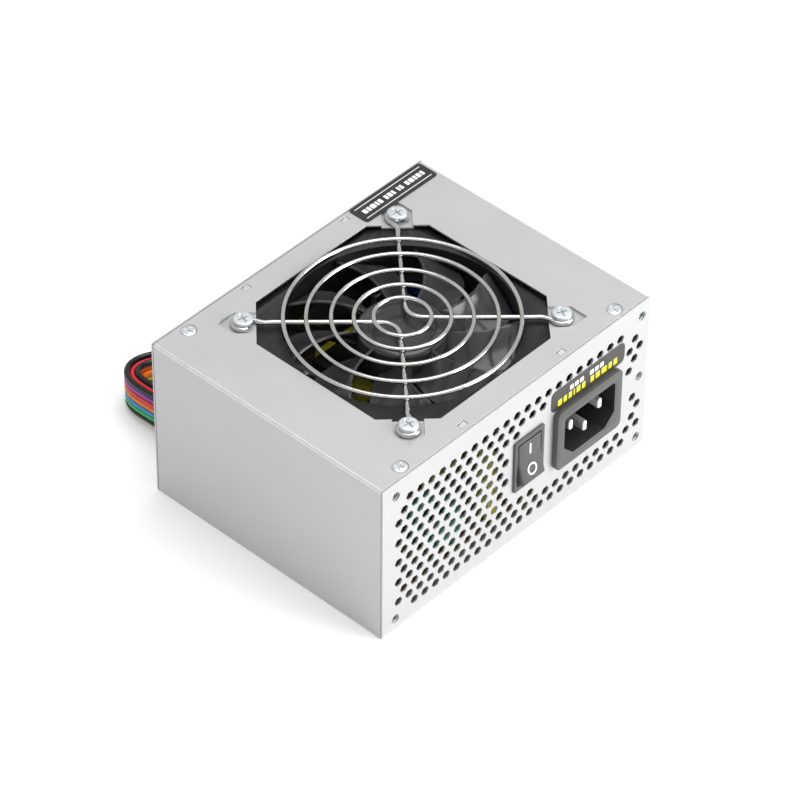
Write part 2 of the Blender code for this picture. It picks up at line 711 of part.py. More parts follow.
def fan_grille():
    left = tube("fan_grille", spoke_points(-1), SPOKE_WIRE_R, BRIGHT, sides=1)
    join(left, tube("right_spokes", spoke_points(1), SPOKE_WIRE_R, BRIGHT, CUTTERS, sides=1))
    for i, radius in enumerate(RING_RADII, 1):
        sides = 18 if radius < 0.02 else 28
        ring = [(x, y, RING_Z) for x, y in ring_of(radius, sides, turn=0.1)]
        join(left, tube(f"ring_{i}", ring, RING_WIRE_R, BRIGHT, CUTTERS, True, 1))
    return left


# ---------------------------------------------------------------------------- rear panel fittings


def mains_inlet():
    centre = (INLET_X, INLET_Z)
    front = -FACE_Y - SEAT - INLET_FLANGE_THICK
    seat = -FACE_Y - SEAT
    flange = rectangle(centre, INLET_FLANGE, 0.002)
    inlet = plate("inlet_housing", [flange], (front, seat), "XZ", GREY)
    body = rectangle(centre, INLET_BODY, 0.0012, 2, chamfer=0.0050)
    body_span = (seat - 0.0005, -FACE_Y + INLET_BODY_DEPTH)
    join(inlet, plate("inlet_body", [body], body_span, "XZ", group=CUTTERS))
    hollow = rectangle(centre, INLET_CAVITY, 0.0012, 2, chamfer=0.0045)
    hollow_span = (front - 0.001, -FACE_Y + INLET_FLOOR)
    cut(inlet, plate("inlet_hollow", [hollow], hollow_span, "XZ", group=CUTTERS))
    pins = (
        ("inlet_pin_live", INLET_X + PIN_SPREAD, PIN_Z),
        ("inlet_pin_neutral", INLET_X - PIN_SPREAD, PIN_Z),
        ("inlet_pin_earth", INLET_X, EARTH_Z),
    )
    tip, back = front + 0.0016, -FACE_Y + 0.0235
    for name, x, z in pins:
        low, high = (x - 0.001, tip, z - 0.002), (x + 0.001, back, z + 0.002)
        pin = rounded(block(name, low, high, BRASS), 0.0005, 1)
        slot_low = (low[0] - GAP, -FACE_Y + 0.010, low[2] - GAP)
        slot_high = (high[0] + GAP, -FACE_Y + 0.020, high[2] + GAP)
        cut(inlet, block(f"{name}_slot", slot_low, slot_high, group=CUTTERS))
        smooth(pin)


def rocker_outline():
    """The rocker seen along X, level: two faces in a shallow V, and a round belly."""
    top = [(-0.0037, 0.0079), (-0.0030, 0.0030), (-0.0027, 0.0)]
    lower = [(y, -z) for y, z in reversed(top[:2])]
    belly = [(0.0008, -0.0079), (0.0036, -0.0040), (0.0046, 0.0), (0.0036, 0.0040), (0.0008, 0.0079)]
    return top + lower + belly


def rocker_switch():
    centre = (SWITCH_X, SWITCH_Z)
    seat = -FACE_Y - SEAT
    bezel = rectangle(centre, BEZEL, 0.0004, 1)
    body = plate("switch_body", [bezel], (seat - BEZEL_THICK, seat), "XZ", GREY)
    back = -FACE_Y + 0.0120
    case = rectangle(centre, SWITCH_BODY)
    join(body, plate("switch_case", [case], (seat - 0.0005, back), "XZ", group=CUTTERS))
    hollow = rectangle(centre, SWITCH_CAVITY)
    span = (-FACE_Y - 0.005, back - 0.0015)
    cut(body, plate("switch_hollow", [hollow], span, "XZ", group=CUTTERS))
    pivot = (SWITCH_X, -FACE_Y + ROCKER_PIVOT_DEPTH, SWITCH_Z)
    cut(body, rod("pivot_bore", 0.0013, pivot, SWITCH_BODY[0] + 0.002, "X", 12, group=CUTTERS))
    for i, z in enumerate((-0.0055, 0.0, 0.0055), 1):
        low = (SWITCH_X - 0.0024, back - 0.0003, SWITCH_Z + z - 0.0004)
        high = (SWITCH_X + 0.0024, back + 0.0075, SWITCH_Z + z + 0.0004)
        join(body, block(f"switch_tab_{i}", low, high, group=CUTTERS))
    half = ROCKER_WIDTH / 2
    rocker = plate("switch_rocker", [rocker_outline()], (-half, half), "YZ", GREY)
    rocker.matrix_world = (
        Matrix.Translation(pivot)
        @ Matrix.Rotation(-ROCKER_TILT, 4, "X")
        @ rocker.matrix_world
    )
    pins = rod("rocker_pins", 0.0010, pivot, SWITCH_BODY[0] - 0.0008, "X", 10, group=CUTTERS)
    join(rounded(rocker, 0.0004, 1, 50), pins)


# ---------------------------------------------------------------------------- circuit board


def main_board():
    low, high = (-BOARD_X, BOARD_Y[0], BOARD_Z), (BOARD_X, BOARD_Y[1], BOARD_TOP)
    board = block("main_board", low, high, BOARD)
    profile = screw_profile(0.0026, 0.0016, 0.0012, 0.0060)
    for i, (x, y) in enumerate(STANDOFFS, 1):
        centre = (x, y, BOARD_Z)
        cut(board, rod(f"board_hole_{i}", 0.0016, centre, 0.006, sides=8, group=CUTTERS))
        place = Matrix.Translation((x, y, BOARD_TOP + SEAT))
        turned(f"board_screw_{i}", profile, STEEL, place, 8)
    size = (2 * SIDE_X - 0.0085, DEPTH - 0.0070)
    z = SHEET + 0.0006
    holes = [ring_of(0.0033, 8, centre) for centre in STANDOFFS]
    outline = rectangle((0, 0), size, 0.002, 1)
    plate("insulation_sheet", [outline, *holes], (z, z + 0.0004), "XY", CLEAR)


def on_board(name, x, y, height, material, lift=0.0003):
    """A box part standing on the board, given by its X and Y spans."""
    z = BOARD_TOP + lift
    return block(name, (x[0], y[0], z), (x[1], y[1], z + height), material)


def can(name, centre, radius, height, material):
    """A capacitor can with a rolled top edge and a groove near its foot."""
    z = BOARD_TOP + GAP
    profile = [
        (0.0, z + height),
        (radius - 0.0008, z + height),
        (radius, z + height - 0.0008),
        (radius, z + 0.0030),
        (radius - 0.0006, z + 0.0022),
        (radius, z + 0.0014),
        (radius, z),
        (0.0, z),
    ]
    place = Matrix.Translation((centre[0], centre[1], 0.0))
    return turned(name, profile, material, place, 20)


def transformer(prefix, centre, core_size, leg, winding, height):
    """A ferrite core with two windows, and the taped winding round its middle leg."""
    x, y = centre
    width, depth, wall = core_size
    z = BOARD_TOP + GAP + 0.0025
    core = block(
        f"{prefix}_core",
        (x - width / 2, y - depth / 2, z),
        (x + width / 2, y + depth / 2, z + height),
        FERRITE,
    )
    for side in (-1, 1):
        near, far = side * leg / 2, side * (width / 2 - wall)
        low = (x + min(near, far), y - depth, z + wall)
        high = (x + max(near, far), y + depth, z + height - wall)
        cut(core, block(f"{prefix}_window_{side}", low, high, group=CUTTERS))
    coil = rectangle(centre, winding, 0.004)
    hole = rectangle(centre, (leg + 2 * GAP, depth + 2 * GAP))
    span = (z + wall + GAP, z + height - wall - GAP)
    plate(f"{prefix}_winding", [coil, hole], span, "XY", TAPE)


def toroid(name, centre, outer, inner, height, material, axis="Z"):
    """A wound ring core, lying flat or standing on its edge."""
    bevel = 0.0012
    half = height / 2
    profile = [
        (outer - bevel, half),
        (outer, half - bevel),
        (outer, bevel - half),
        (outer - bevel, -half),
        (inner + bevel, -half),
        (inner, bevel - half),
        (inner, half - bevel),
        (inner + bevel, half),
    ]
    return turned(name, profile, material, Matrix.Translation(centre) @ TURN[axis], 20)


def finned_heatsink(name, x, y, height, fins, side):
    """An aluminium plate along Y with short fins on one side of its top."""
    sink = on_board(name, x, y, height, ALUMINIUM)
    top = BOARD_TOP + GAP + height
    length = y[1] - y[0]
    for i in range(fins):
        middle = y[0] + length * (i + 0.5) / fins
        near, far = (x[0] + 0.001, x[0] - 0.006) if side < 0 else (x[1] - 0.001, x[1] + 0.006)
        low = (min(near, far), middle - 0.0012, top - 0.0100)
        high = (max(near, far), middle + 0.0012, top)
        join(sink, block(f"{name}_fin_{i}", low, high, group=CUTTERS))
    return sink


def board_parts():
    core, coil = (0.0330, 0.0120, 0.0050), (0.0222, 0.0250)
    transformer("main_transformer", (0.0040, 0.0220), core, 0.0100, coil, 0.0270)
    can("bulk_capacitor_1", (0.0450, 0.0300), 0.0110, 0.0290, BLUE)
    can("bulk_capacitor_2", (0.0450, 0.0050), 0.0110, 0.0290, BLUE)
    finned_heatsink("primary_heatsink", (0.0270, 0.0300), (-0.0180, 0.0380), 0.0330, 5, -1)
    finned_heatsink("secondary_heatsink", (-0.0200, -0.0170), (0.0050, 0.0420), 0.0320, 5, -1)
    low, high = (0.0303, -0.0150, BOARD_TOP + 0.0060), (0.0333, -0.0050, BOARD_TOP + 0.0200)
    block("power_transistor", low, high, BLACK)
    rectifier = on_board("output_rectifier", (-0.0167, -0.0137), (0.0180, 0.0280), 0.0160, BLACK, 0.0050)
    rounded(rectifier, 0.0005, 1)
    choke = (-0.0350, 0.0000, BOARD_TOP + GAP + 0.0125)
    toroid("output_choke", choke, 0.0125, 0.0055, 0.0110, COPPER, "Y")
    for i, (x, y) in enumerate(((-0.0500, 0.0160), (-0.0380, 0.0200)), 1):
        can(f"output_capacitor_{i}", (x, y), 0.0050, 0.0200, BLACK)
    standby = on_board("standby_transformer", (-0.0100, 0.0060), (-0.0200, -0.0060), 0.0180, TAPE)
    rounded(standby, 0.0015, 1)
    choke = (-0.0210, -0.0330, BOARD_TOP + GAP + 0.0045)
    toroid("line_filter_choke", choke, 0.0095, 0.0040, 0.0090, GREEN)
    capacitor = on_board("filter_capacitor", (-0.0066, -0.0022), (-0.0440, -0.0380), 0.0280, TAPE)
    rounded(capacitor, 0.0006, 1)
    disc = (0.0160, -0.0290, BOARD_TOP + GAP + 0.0046)
    rod("suppression_capacitor", 0.0044, disc, 0.0032, "X", 12, BLUE)
    bridge = on_board("bridge_rectifier", (0.0120, 0.0240), (-0.0150, -0.0110), 0.0150, BLACK, 0.0030)
    rounded(bridge, 0.0006, 1)
    fuse = (0.0440, -0.0260, BOARD_TOP + GAP + 0.0031)
    rod("fuse", 0.0026, fuse, 0.0200, "X", 12, CREAM)
    on_board("control_board", (-0.0080, 0.0120), (-0.0020, -0.0006), 0.0230, GREEN_BOARD)


def inner_leads():
    """Mains leads from the switch and inlet to the board, and the fan's own lead."""
    end_z = BOARD_TOP + GAP
    live = [
        (SWITCH_X, -0.0300, 0.0400),
        (SWITCH_X, -0.0268, 0.0395),
        (0.0020, -0.0240, 0.0340),
        (-0.0050, -0.0240, 0.0220),
        (-0.0050, -0.0270, 0.0130),
        (-0.0050, -0.0280, end_z),
    ]
    tube("live_lead", smooth_path(live, 0.006), 0.0011, BROWN, sides=1)
    neutral = [
        (INLET_X - PIN_SPREAD, -0.0262, PIN_Z),
        (INLET_X - PIN_SPREAD, -0.0235, 0.0325),
        (0.0240, -0.0215, 0.0280),
        (0.0240, -0.0210, 0.0180),
        (0.0240, -0.0210, end_z),
    ]
    tube("neutral_lead", smooth_path(neutral, 0.006), 0.0011, BLUE, sides=1)
    earth = [
        (INLET_X, -0.0262, EARTH_Z),
        (INLET_X + 0.001, -0.0235, 0.0275),
        (0.0360, -0.0210, 0.0230),
        (0.0370, -0.0200, 0.0160),
        (0.0370, -0.0195, end_z),
    ]
    tube("earth_lead", smooth_path(earth, 0.006), 0.0011, EARTH, sides=1)
    fan_lead = [
        (-0.0100, -0.0120, FAN_BOTTOM - 0.0016),
        (-0.0200, -0.0160, 0.0425),
        (-0.0300, -0.0200, 0.0400),
        (-0.0420, -0.0230, 0.0300),
        (-0.0460, -0.0240, 0.0190),
        (-0.0460, -0.0240, end_z),
    ]
    tube("fan_lead", smooth_path(fan_lead, 0.006), 0.0010, BLACK, sides=1)


# ---------------------------------------------------------------------------- output lead


def grommet():
    """A rubber bush in the front wall, flanged on both faces, around the band of wires."""
    centre = (EXIT_X, EXIT_Z)
    hole = rectangle(centre, (BAND_THICK + 2 * GAP, BAND_HEIGHT + 2 * GAP), 0.001, 2)
    neck = rectangle(centre, (BAND_THICK + 0.0030, BAND_HEIGHT + 0.0030), 0.0018, 2)
    lip = rectangle(centre, (BAND_THICK + 0.0056, BAND_HEIGHT + 0.0056), 0.0028, 2)
    inside, outside = FACE_Y - SHEET - SEAT, FACE_Y + SEAT
    bush = plate("cable_grommet", [neck], (inside - 0.0012, outside + 0.0012), "XZ", RUBBER)
    spans = (("inner", (inside - 0.0010, inside)), ("outer", (outside, outside + 0.0010)))
    for name, span in spans:
        join(bush, plate(f"{name}_lip", [lip], span, "XZ", group=CUTTERS))
    span = (FACE_Y - 0.004, FACE_Y + 0.004)
    cut(bush, plate("grommet_hole", [hole], span, "XZ", group=CUTTERS))


def lead_band(name, route):
    """The flat band of wires swept along its route, standing on edge."""
    section = bpy.data.curves.new(f"{name}_section", "CURVE")
    section.dimensions = "2D"
    spline = section.splines.new("POLY")
    outline = rectangle((0, 0), (BAND_THICK, BAND_HEIGHT), 0.001, 1)
    spline.points.add(len(outline) - 1)
    for point, (u, v) in zip(spline.points, outline):
        point.co = (u, v, 0.0, 1.0)
    spline.use_cyclic_u = True
    guide = bpy.data.objects.new(f"{name}_section", section)
    CUTTERS.objects.link(guide)
    guide.hide_render = True
    guide.display_type = "WIRE"
    curve = bpy.data.curves.new(name, "CURVE")
    curve.dimensions = "3D"
    curve.twist_mode = "Z_UP"
    curve.bevel_mode = "OBJECT"
    curve.bevel_object = guide
    curve.use_fill_caps = True
    path = smooth_path(route, 0.005)
    spline = curve.splines.new("POLY")
    spline.points.add(len(path) - 1)
    for point, place in zip(spline.points, path):
        point.co = (*place, 1.0)
    curve.materials.append(BLACK)
    obj = bpy.data.objects.new(name, curve)
    PARTS.objects.link(obj)
    return baked(obj)


def hank():
    """The outer shape of the folded lead: round ends, and a waist under the tie."""
    (x0, x1), (y0, y1) = HANK_X, HANK_Y
    reach, corner = 0.018, 0.007
    waist0, waist1 = WAIST_Y

    def edge(outer, inner):
        """One long side, dipping to the waist in a cosine."""
        points = []
        for i in range(9):
            x = WAIST_X + reach * (i / 4 - 1)
            dip = 0.5 + 0.5 * math.cos(math.pi * (x - WAIST_X) / reach)
            points.append((x, outer + (inner - outer) * dip))
        return points

    outline = arc((x0 + corner, y0 + corner), corner, 180, 270, 3)
    outline += edge(y0, waist0)
    outline += arc((x1 - corner, y0 + corner), corner, 270, 360, 3)
    outline += arc((x1 - corner, y1 - corner), corner, 0, 90, 3)
    outline += edge(y1, waist1)[::-1]
    outline += [(x0, y1)]
    solid = plate("lead_hank", [outline], (HANK_LOW, HANK_HIGH), "XY", BLACK)
    half = TIE_WIDTH / 2 + GAP
    low, high = (WAIST_X - half, y0, -0.001), (WAIST_X + half, y1, HANK_LOW + TIE_THICK + GAP)
    return cut(solid, block("tie_groove", low, high, group=CUTTERS))


def cable_tie():
    """A strap round the hank's waist, its lower run in the groove under the wires."""
    waist0, waist1 = WAIST_Y
    half = TIE_WIDTH / 2
    low, high = HANK_LOW, HANK_HIGH + GAP
    outer = [
        (waist0 - GAP - TIE_THICK, low),
        (waist1 + GAP + TIE_THICK, low),
        (waist1 + GAP + TIE_THICK, high + TIE_THICK),
        (waist0 - GAP - TIE_THICK, high + TIE_THICK),
    ]
    middle = [
        (waist0 - GAP, low + TIE_THICK),
        (waist1 + GAP, low + TIE_THICK),
        (waist1 + GAP, high),
        (waist0 - GAP, high),
    ]
    tie = plate("cable_tie", [outer, middle], (WAIST_X - half, WAIST_X + half), "YZ", BLACK)
    head_y = waist1 + GAP + TIE_THICK - 0.0004
    head = block(
        "tie_head",
        (WAIST_X - 0.0022, head_y, 0.0060),
        (WAIST_X + 0.0022, head_y + 0.0028, 0.0105),
        group=CUTTERS,
    )
    return join(tie, head)


def fan_out():
    """Where the band spreads to the connector's width: a loft from a tall end to a wide one."""
    x0, x1 = FAN_OUT_X
    y_mid = (CONNECTOR_Y[0] + CONNECTOR_Y[1]) / 2
    run_y, run_half = LAST_RUN_Y, BAND_THICK / 2
    wide_half = CAVITY_PITCH * 6 - 0.0009
    steps = 6
    sections = []
    for i in range(-1, steps + 1):
        t = max(0, i) / steps
        ease = t * t * (3 - 2 * t)
        y = run_y + (y_mid - run_y) * ease
        half = run_half + (wide_half - run_half) * ease
        top = BAND_HEIGHT + 0.0004 + (0.0088 - BAND_HEIGHT) * ease
        low = 0.0002 + 0.0008 * ease
        x = x0 + (x1 - x0) * t if i >= 0 else HANK_X[1] + GAP
        sections.append([(x, y + u * half, z) for u, z in ((-1, low), (1, low), (1, top), (-1, top))])
    bm = bmesh.new()
    rings = [[bm.verts.new(p) for p in section] for section in sections]
    for a, b in zip(rings, rings[1:]):
        for i in range(4):
            bm.faces.new((a[i], a[(i + 1) % 4], b[(i + 1) % 4], b[i]))
    bm.faces.new(rings[0])
    bm.faces.new(rings[-1])
    return keep("lead_fan_out", mesh_of(bm, "lead_fan_out"), BLACK)


def connector():
    """A two-row, twenty-four-way plug lying flat, with a rocking latch on its top."""
    (x0, x1), (y0, y1) = CONNECTOR_X, CONNECTOR_Y
    low, high = 0.0002, 0.0002 + CONNECTOR_HEIGHT
    body = block("main_connector", (x0, y0, low), (x1, y1, high), CREAM)
    half = 0.0015
    sockets = bmesh.new()
    for column in range(12):
        for row in range(2):
            y = (y0 + y1) / 2 + CAVITY_PITCH * (column - 5.5)
            z = (low + high) / 2 + CAVITY_PITCH * (row - 0.5)
            size = Matrix.Diagonal((0.008, 2 * half, 2 * half, 1.0))
            place = Matrix.Translation((x1, y, z)) @ size
            bmesh.ops.create_cube(sockets, size=1.0, matrix=place)
    cut(body, keep("socket_cutter", mesh_of(sockets, "socket_cutter"), None, CUTTERS))
    middle = (y0 + y1) / 2
    latch = [
        (x0 + 0.0006, high + 0.0016),
        (x1 + 0.0008, high + 0.0010),
        (x1 + 0.0022, high + 0.0006),
        (x1 + 0.0022, high + 0.0018),
        (x1 + 0.0006, high + 0.0021),
        (x0 + 0.0006, high + 0.0026),
    ]
    plate("connector_latch", [latch], (middle - 0.0027, middle + 0.0027), "XZ", CREAM)
    for i, (y_low, y_high) in enumerate(((-0.0048, -0.0031), (0.0031, 0.0048)), 1):
        post_low = (x0 + 0.0050, middle + y_low, high - 0.0003)
        post_high = (x0 + 0.0066, middle + y_high, high + 0.0024)
        join(body, block(f"latch_post_{i}", post_low, post_high, group=CUTTERS))


base_shell()
top_cover()
cover_screws()
stickers()
fan_frame()
fan_rotor()
fan_motor()
fan_screws()
fan_grille()
mains_inlet()
rocker_switch()
main_board()
board_parts()
inner_leads()
grommet()
lead_band("lead_band", LEAD_ROUTE)
hank()
cable_tie()
fan_out()
connector()
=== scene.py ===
"""The looks of a compact power supply unit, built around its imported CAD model.

Metres, +Z up, in the CAD model's own frame: the inlet faces -Y and the output lead leaves +Y.
"""

import math
import random

import bmesh
import bpy
from mathutils import Matrix, Vector


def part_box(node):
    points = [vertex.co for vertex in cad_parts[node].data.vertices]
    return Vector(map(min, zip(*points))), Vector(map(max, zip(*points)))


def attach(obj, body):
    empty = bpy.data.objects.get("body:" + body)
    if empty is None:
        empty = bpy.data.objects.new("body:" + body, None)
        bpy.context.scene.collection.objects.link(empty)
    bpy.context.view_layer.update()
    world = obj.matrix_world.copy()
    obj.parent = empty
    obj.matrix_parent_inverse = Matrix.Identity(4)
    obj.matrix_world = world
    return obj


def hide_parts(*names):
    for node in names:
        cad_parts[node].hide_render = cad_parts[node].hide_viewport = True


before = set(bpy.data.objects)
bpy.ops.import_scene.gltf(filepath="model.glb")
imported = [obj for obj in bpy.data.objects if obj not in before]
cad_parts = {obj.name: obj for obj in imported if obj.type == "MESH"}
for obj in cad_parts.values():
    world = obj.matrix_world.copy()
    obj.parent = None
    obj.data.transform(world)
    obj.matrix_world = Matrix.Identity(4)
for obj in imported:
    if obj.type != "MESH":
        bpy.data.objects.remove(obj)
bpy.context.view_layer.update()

MM = 0.001
scene = bpy.context.scene

# ---------------------------------------------------------------------------- small tools


def linear(code):
    """A hex colour as it is seen, turned to the linear values that shaders use."""
    parts = [int(code[i : i + 2], 16) / 255 for i in (1, 3, 5)]
    return [c / 12.92 if c <= 0.04045 else ((c + 0.055) / 1.055) ** 2.4 for c in parts] + [1.0]


def add(tree, kind, links=(), **settings):
    """A node with its settings; links gives sockets a value, or the output that feeds them."""
    made = tree.nodes.new(kind)
    for key, value in settings.items():
        setattr(made, key, value)
    for key, value in dict(links).items():
        if isinstance(value, bpy.types.NodeSocket):
            tree.links.new(value, made.inputs[key])
        else:
            made.inputs[key].default_value = value
    return made


def place_piece(piece, body, nodes=()):
    """Gives a finished piece its body, and hides the CAD nodes that it stands for."""
    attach(piece, body)
    if nodes:
        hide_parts(*nodes)
    return piece


def new_piece(name, mesh, material):
    """An object in the scene with this mesh and, if given, this material."""
    piece = bpy.data.objects.new(name, mesh)
    scene.collection.objects.link(piece)
    if material:
        mesh.materials.append(material)
    return piece


def plain(piece):
    """The piece with its modifiers worked out into a plain mesh, its place included."""
    bpy.context.view_layer.update()
    graph = bpy.context.evaluated_depsgraph_get()
    mesh = bpy.data.meshes.new_from_object(piece.evaluated_get(graph))
    mesh.transform(piece.matrix_world)
    name = piece.name
    bpy.data.objects.remove(piece, do_unlink=True)
    made = bpy.data.objects.new(name, mesh)
    scene.collection.objects.link(made)
    return made


def smooth(mesh, angle):
    """Smooth shading, with sharp edges past an angle in degrees."""
    mesh.shade_smooth()
    mesh.set_sharp_from_angle(angle=math.radians(angle))


def bevelled(piece, width, segments, angle):
    """Rounded edges wherever two faces meet at more than an angle in degrees."""
    bevel = piece.modifiers.new("edges", "BEVEL")
    bevel.width = width
    bevel.segments = segments
    bevel.limit_method = "ANGLE"
    bevel.angle_limit = math.radians(angle)


# ---------------------------------------------------------------------------- materials


def finish(name, dark, light, rough, metal=0.0, patch=4.0, contrast=(0.3, 0.7), bump=None, **shader):
    """A surface whose colour drifts between two shades in patches of so many millimetres.

    rough is the lowest and highest roughness. bump is (grain size in mm, depth in mm, how many
    times longer the grain is along X, Y, Z).
    """
    material = bpy.data.materials.new(name)
    material.use_nodes = True
    tree = material.node_tree
    principled = tree.nodes["Principled BSDF"]
    place = add(tree, "ShaderNodeTexCoord").outputs["Object"]
    drift = add(
        tree,
        "ShaderNodeTexNoise",
        {"Vector": place, "Scale": 1 / (patch * MM), "Detail": 5.0, "Roughness": 0.6},
    ).outputs["Fac"]
    shade = add(tree, "ShaderNodeValToRGB", {"Fac": drift})
    for stop, at, code in zip(shade.color_ramp.elements, contrast, (dark, light)):
        stop.position = at
        stop.color = linear(code)
    spread = add(
        tree,
        "ShaderNodeMapRange",
        {"Value": drift, "From Min": 0.3, "From Max": 0.7, "To Min": rough[0], "To Max": rough[1]},
    )
    tree.links.new(shade.outputs["Color"], principled.inputs["Base Color"])
    tree.links.new(spread.outputs["Result"], principled.inputs["Roughness"])
    principled.inputs["Metallic"].default_value = metal
    for socket, value in shader.items():
        principled.inputs[socket.replace("_", " ")].default_value = value
    if bump:
        size, depth, stretch = bump
        scale = [1 / (size * MM * s) for s in stretch]
        drawn = add(tree, "ShaderNodeMapping", {"Vector": place, "Scale": scale})
        grain = add(
            tree,
            "ShaderNodeTexNoise",
            {"Vector": drawn.outputs["Vector"], "Scale": 1.0, "Detail": 3.0, "Roughness": 0.55},
        )
        raised = add(
            tree,
            "ShaderNodeBump",
            {"Height": grain.outputs["Fac"], "Distance": depth * MM, "Strength": 1.0},
        )
        tree.links.new(raised.outputs["Normal"], principled.inputs["Normal"])
    return material


# Rolled steel sheet with a passivated zinc plate: pale grey, satin, with the fine spangle of the
# plating. The chromate film over the zinc is dull, so the surface is only partly metallic. The
# spangle is drawn at 0.22 mm, coarser than the real 0.1 mm, so that it shows.
ZINC_SHEET = finish(
    "zinc_plated_steel_sheet", "#BDBDBE", "#C2C2C3", (0.46, 0.52), 0.5, 30.0, (0.2, 0.8),
    (0.22, 0.0016, (1, 1, 1)),
)
# The same sheet with a painted highlight: brighter and smoother along its folds, pockets and
# punched edges, where the bends catch the light
ZINC_FOLD_HIGHLIGHT = finish("burnished_zinc_edge", "#D4D4D5", "#E0E0E0", (0.30, 0.40), 0.5, 4.0)
# The same sheet where it is cut and tapped, painted dark: painted shade inside the mounting holes
HOLE_SHADE_STEEL = finish("tapped_steel", "#3A3A38", "#50504E", (0.40, 0.55), 1.0, 0.5)
# Machine screws, barrel plated in bright zinc: a cold, slightly blue white metal
ZINC_SCREW = finish("bright_zinc_screw", "#D6DADD", "#E4E8EA", (0.34, 0.44), 0.75, 1.0)
# Hard-drawn steel wire, nickel plated: mirror bright, slightly hazed in places
NICKEL_WIRE = finish("bright_nickel_wire", "#CFCFCD", "#E4E4E2", (0.10, 0.20), 1.0, 6.0)
# The inlet's blades and the fan's shaft: turned or stamped metal with a satin nickel plate
NICKEL_BRASS = finish("nickel_plated_brass", "#D6D6D2", "#E8E8E6", (0.34, 0.46), 0.8, 2.0)
# PBT with a fine moulded texture: the fan's frame
BLACK_PBT = finish(
    "black_pbt_moulding", "#0C0C0D", "#151516", (0.38, 0.50), 0.0, 5.0, bump=(0.4, 0.006, (1, 1, 1))
)
# Smoke-tinted PBT, polished in the mould: the fan's blades and hub
SMOKE_PBT = finish("smoke_pbt_moulding", "#38383A", "#414143", (0.16, 0.22), 0.0, 12.0)
# Glass-filled nylon with a spark-eroded texture: the inlet and the switch
GREY_NYLON = finish(
    "dark_grey_nylon", "#484848", "#505050", (0.42, 0.55), 0.0, 3.0, bump=(0.35, 0.010, (1, 1, 1))
)
# The rocker: the same nylon from a finer mould, worn slightly smoother by fingers
GREY_ROCKER = finish("dark_grey_rocker", "#3E3E3E", "#464646", (0.30, 0.40), 0.0, 3.0)
# The same nylon inside the inlet, painted black and dull between its blades: painted shade in the deep
# cavity
INLET_CAVITY_SHADE = finish("black_inlet_insert", "#060606", "#0C0C0C", (0.55, 0.70), 0.0, 2.0)
# Natural nylon: the connector, slightly yellow and waxy
NATURAL_NYLON = finish(
    "natural_nylon_moulding", "#D8D0B4", "#E8E2CC", (0.32, 0.45), 0.0, 4.0,
    Subsurface_Weight=0.15, Subsurface_Scale=0.001,
)
# The seal: black polyester film with a satin over-laminate
BLACK_FILM = finish("black_polyester_film", "#232325", "#2B2B2D", (0.30, 0.42), 0.0, 3.0)
# The inlet's label: the same film, printed a warm grey black
LABEL_FILM = finish("warm_grey_polyester_film", "#2A2823", "#34322C", (0.34, 0.46), 0.0, 3.0)
# Screen-printing inks, opaque and nearly matt
WHITE_INK = finish("white_screen_ink", "#E2E2E0", "#EFEFED", (0.45, 0.55), 0.0, 1.0)
YELLOW_INK = finish("yellow_screen_ink", "#C9C400", "#DAD61C", (0.45, 0.55), 0.0, 1.0)
# Neoprene, dull from its filler: the lead's grommet
BLACK_RUBBER = finish(
    "black_neoprene", "#151515", "#1F1F1F", (0.65, 0.80), 0.0, 2.0, bump=(0.3, 0.01, (1, 1, 1))
)
# Heat-stabilised nylon 66, semi-gloss: the strap round the lead
BLACK_NYLON = finish("black_nylon_strap", "#101011", "#1A1A1B", (0.35, 0.45), 0.0, 2.0)
# Polyester-enamelled copper wire, wound in close turns that catch the light as ridges
COPPER = finish(
    "enamelled_copper_winding", "#8A3E18", "#B5622C", (0.22, 0.36), 0.9, 1.0,
    bump=(0.9, 0.25, (6, 1, 1)),
)
# Oil-filled sintered bronze, satin: the fan's bearing
BRONZE = finish("sintered_bronze", "#8C6A3C", "#A88550", (0.40, 0.55), 1.0, 0.8)
# Phenolic paper laminate, brown, with a faint fibre
PAPER_BOARD = finish(
    "phenolic_paper_board", "#4C3A1E", "#6A5128", (0.45, 0.60), 0.0, 3.0,
    bump=(0.3, 0.02, (8, 1, 1)),
)
# Glass-epoxy laminate under a glossy green solder lacquer
GREEN_BOARD = finish("green_lacquered_board", "#0E5A3A", "#1E7A52", (0.25, 0.40), 0.0, 4.0)
# Sintered manganese-zinc ferrite: near black, slightly grainy
FERRITE = finish(
    "sintered_ferrite", "#242426", "#303033", (0.55, 0.70), 0.2, 0.6, bump=(0.2, 0.02, (1, 1, 1))
)
# Polyester film tape in layers round a coil
YELLOW_TAPE = finish(
    "yellow_polyester_tape", "#CFC62A", "#E4DC4C", (0.22, 0.34), 0.0, 3.0,
    bump=(0.6, 0.05, (8, 8, 1)),
)
# Aluminium extrusion, mill finish, with die lines
MILL_ALUMINIUM = finish(
    "mill_finish_aluminium", "#A9AAAA", "#C2C3C3", (0.32, 0.46), 1.0, 3.0,
    bump=(0.4, 0.02, (1, 10, 1)),
)
# Shrink-on PVC sleeves, glossy: the capacitors
BLUE_SLEEVE = finish("blue_pvc_sleeve", "#0A62C0", "#1A7AE0", (0.22, 0.32), 0.0, 4.0)
BLACK_SLEEVE = finish("black_pvc_sleeve", "#101114", "#1A1B1F", (0.25, 0.35), 0.0, 4.0)
# Iron powder core in its maker's green epoxy paint
TEAL_COATING = finish("green_epoxy_core_coating", "#1F6A4E", "#2E8A66", (0.25, 0.38), 0.0, 1.5)
# Transfer-moulded epoxy, matt: the packages of the semiconductors
EPOXY = finish("black_moulded_epoxy", "#141415", "#1E1E20", (0.45, 0.58), 0.0, 1.5)
# Cream ceramic tube with a thin glaze: the fuse
CERAMIC = finish("cream_ceramic", "#CFC6AE", "#E0D9C6", (0.30, 0.42), 0.0, 1.0)
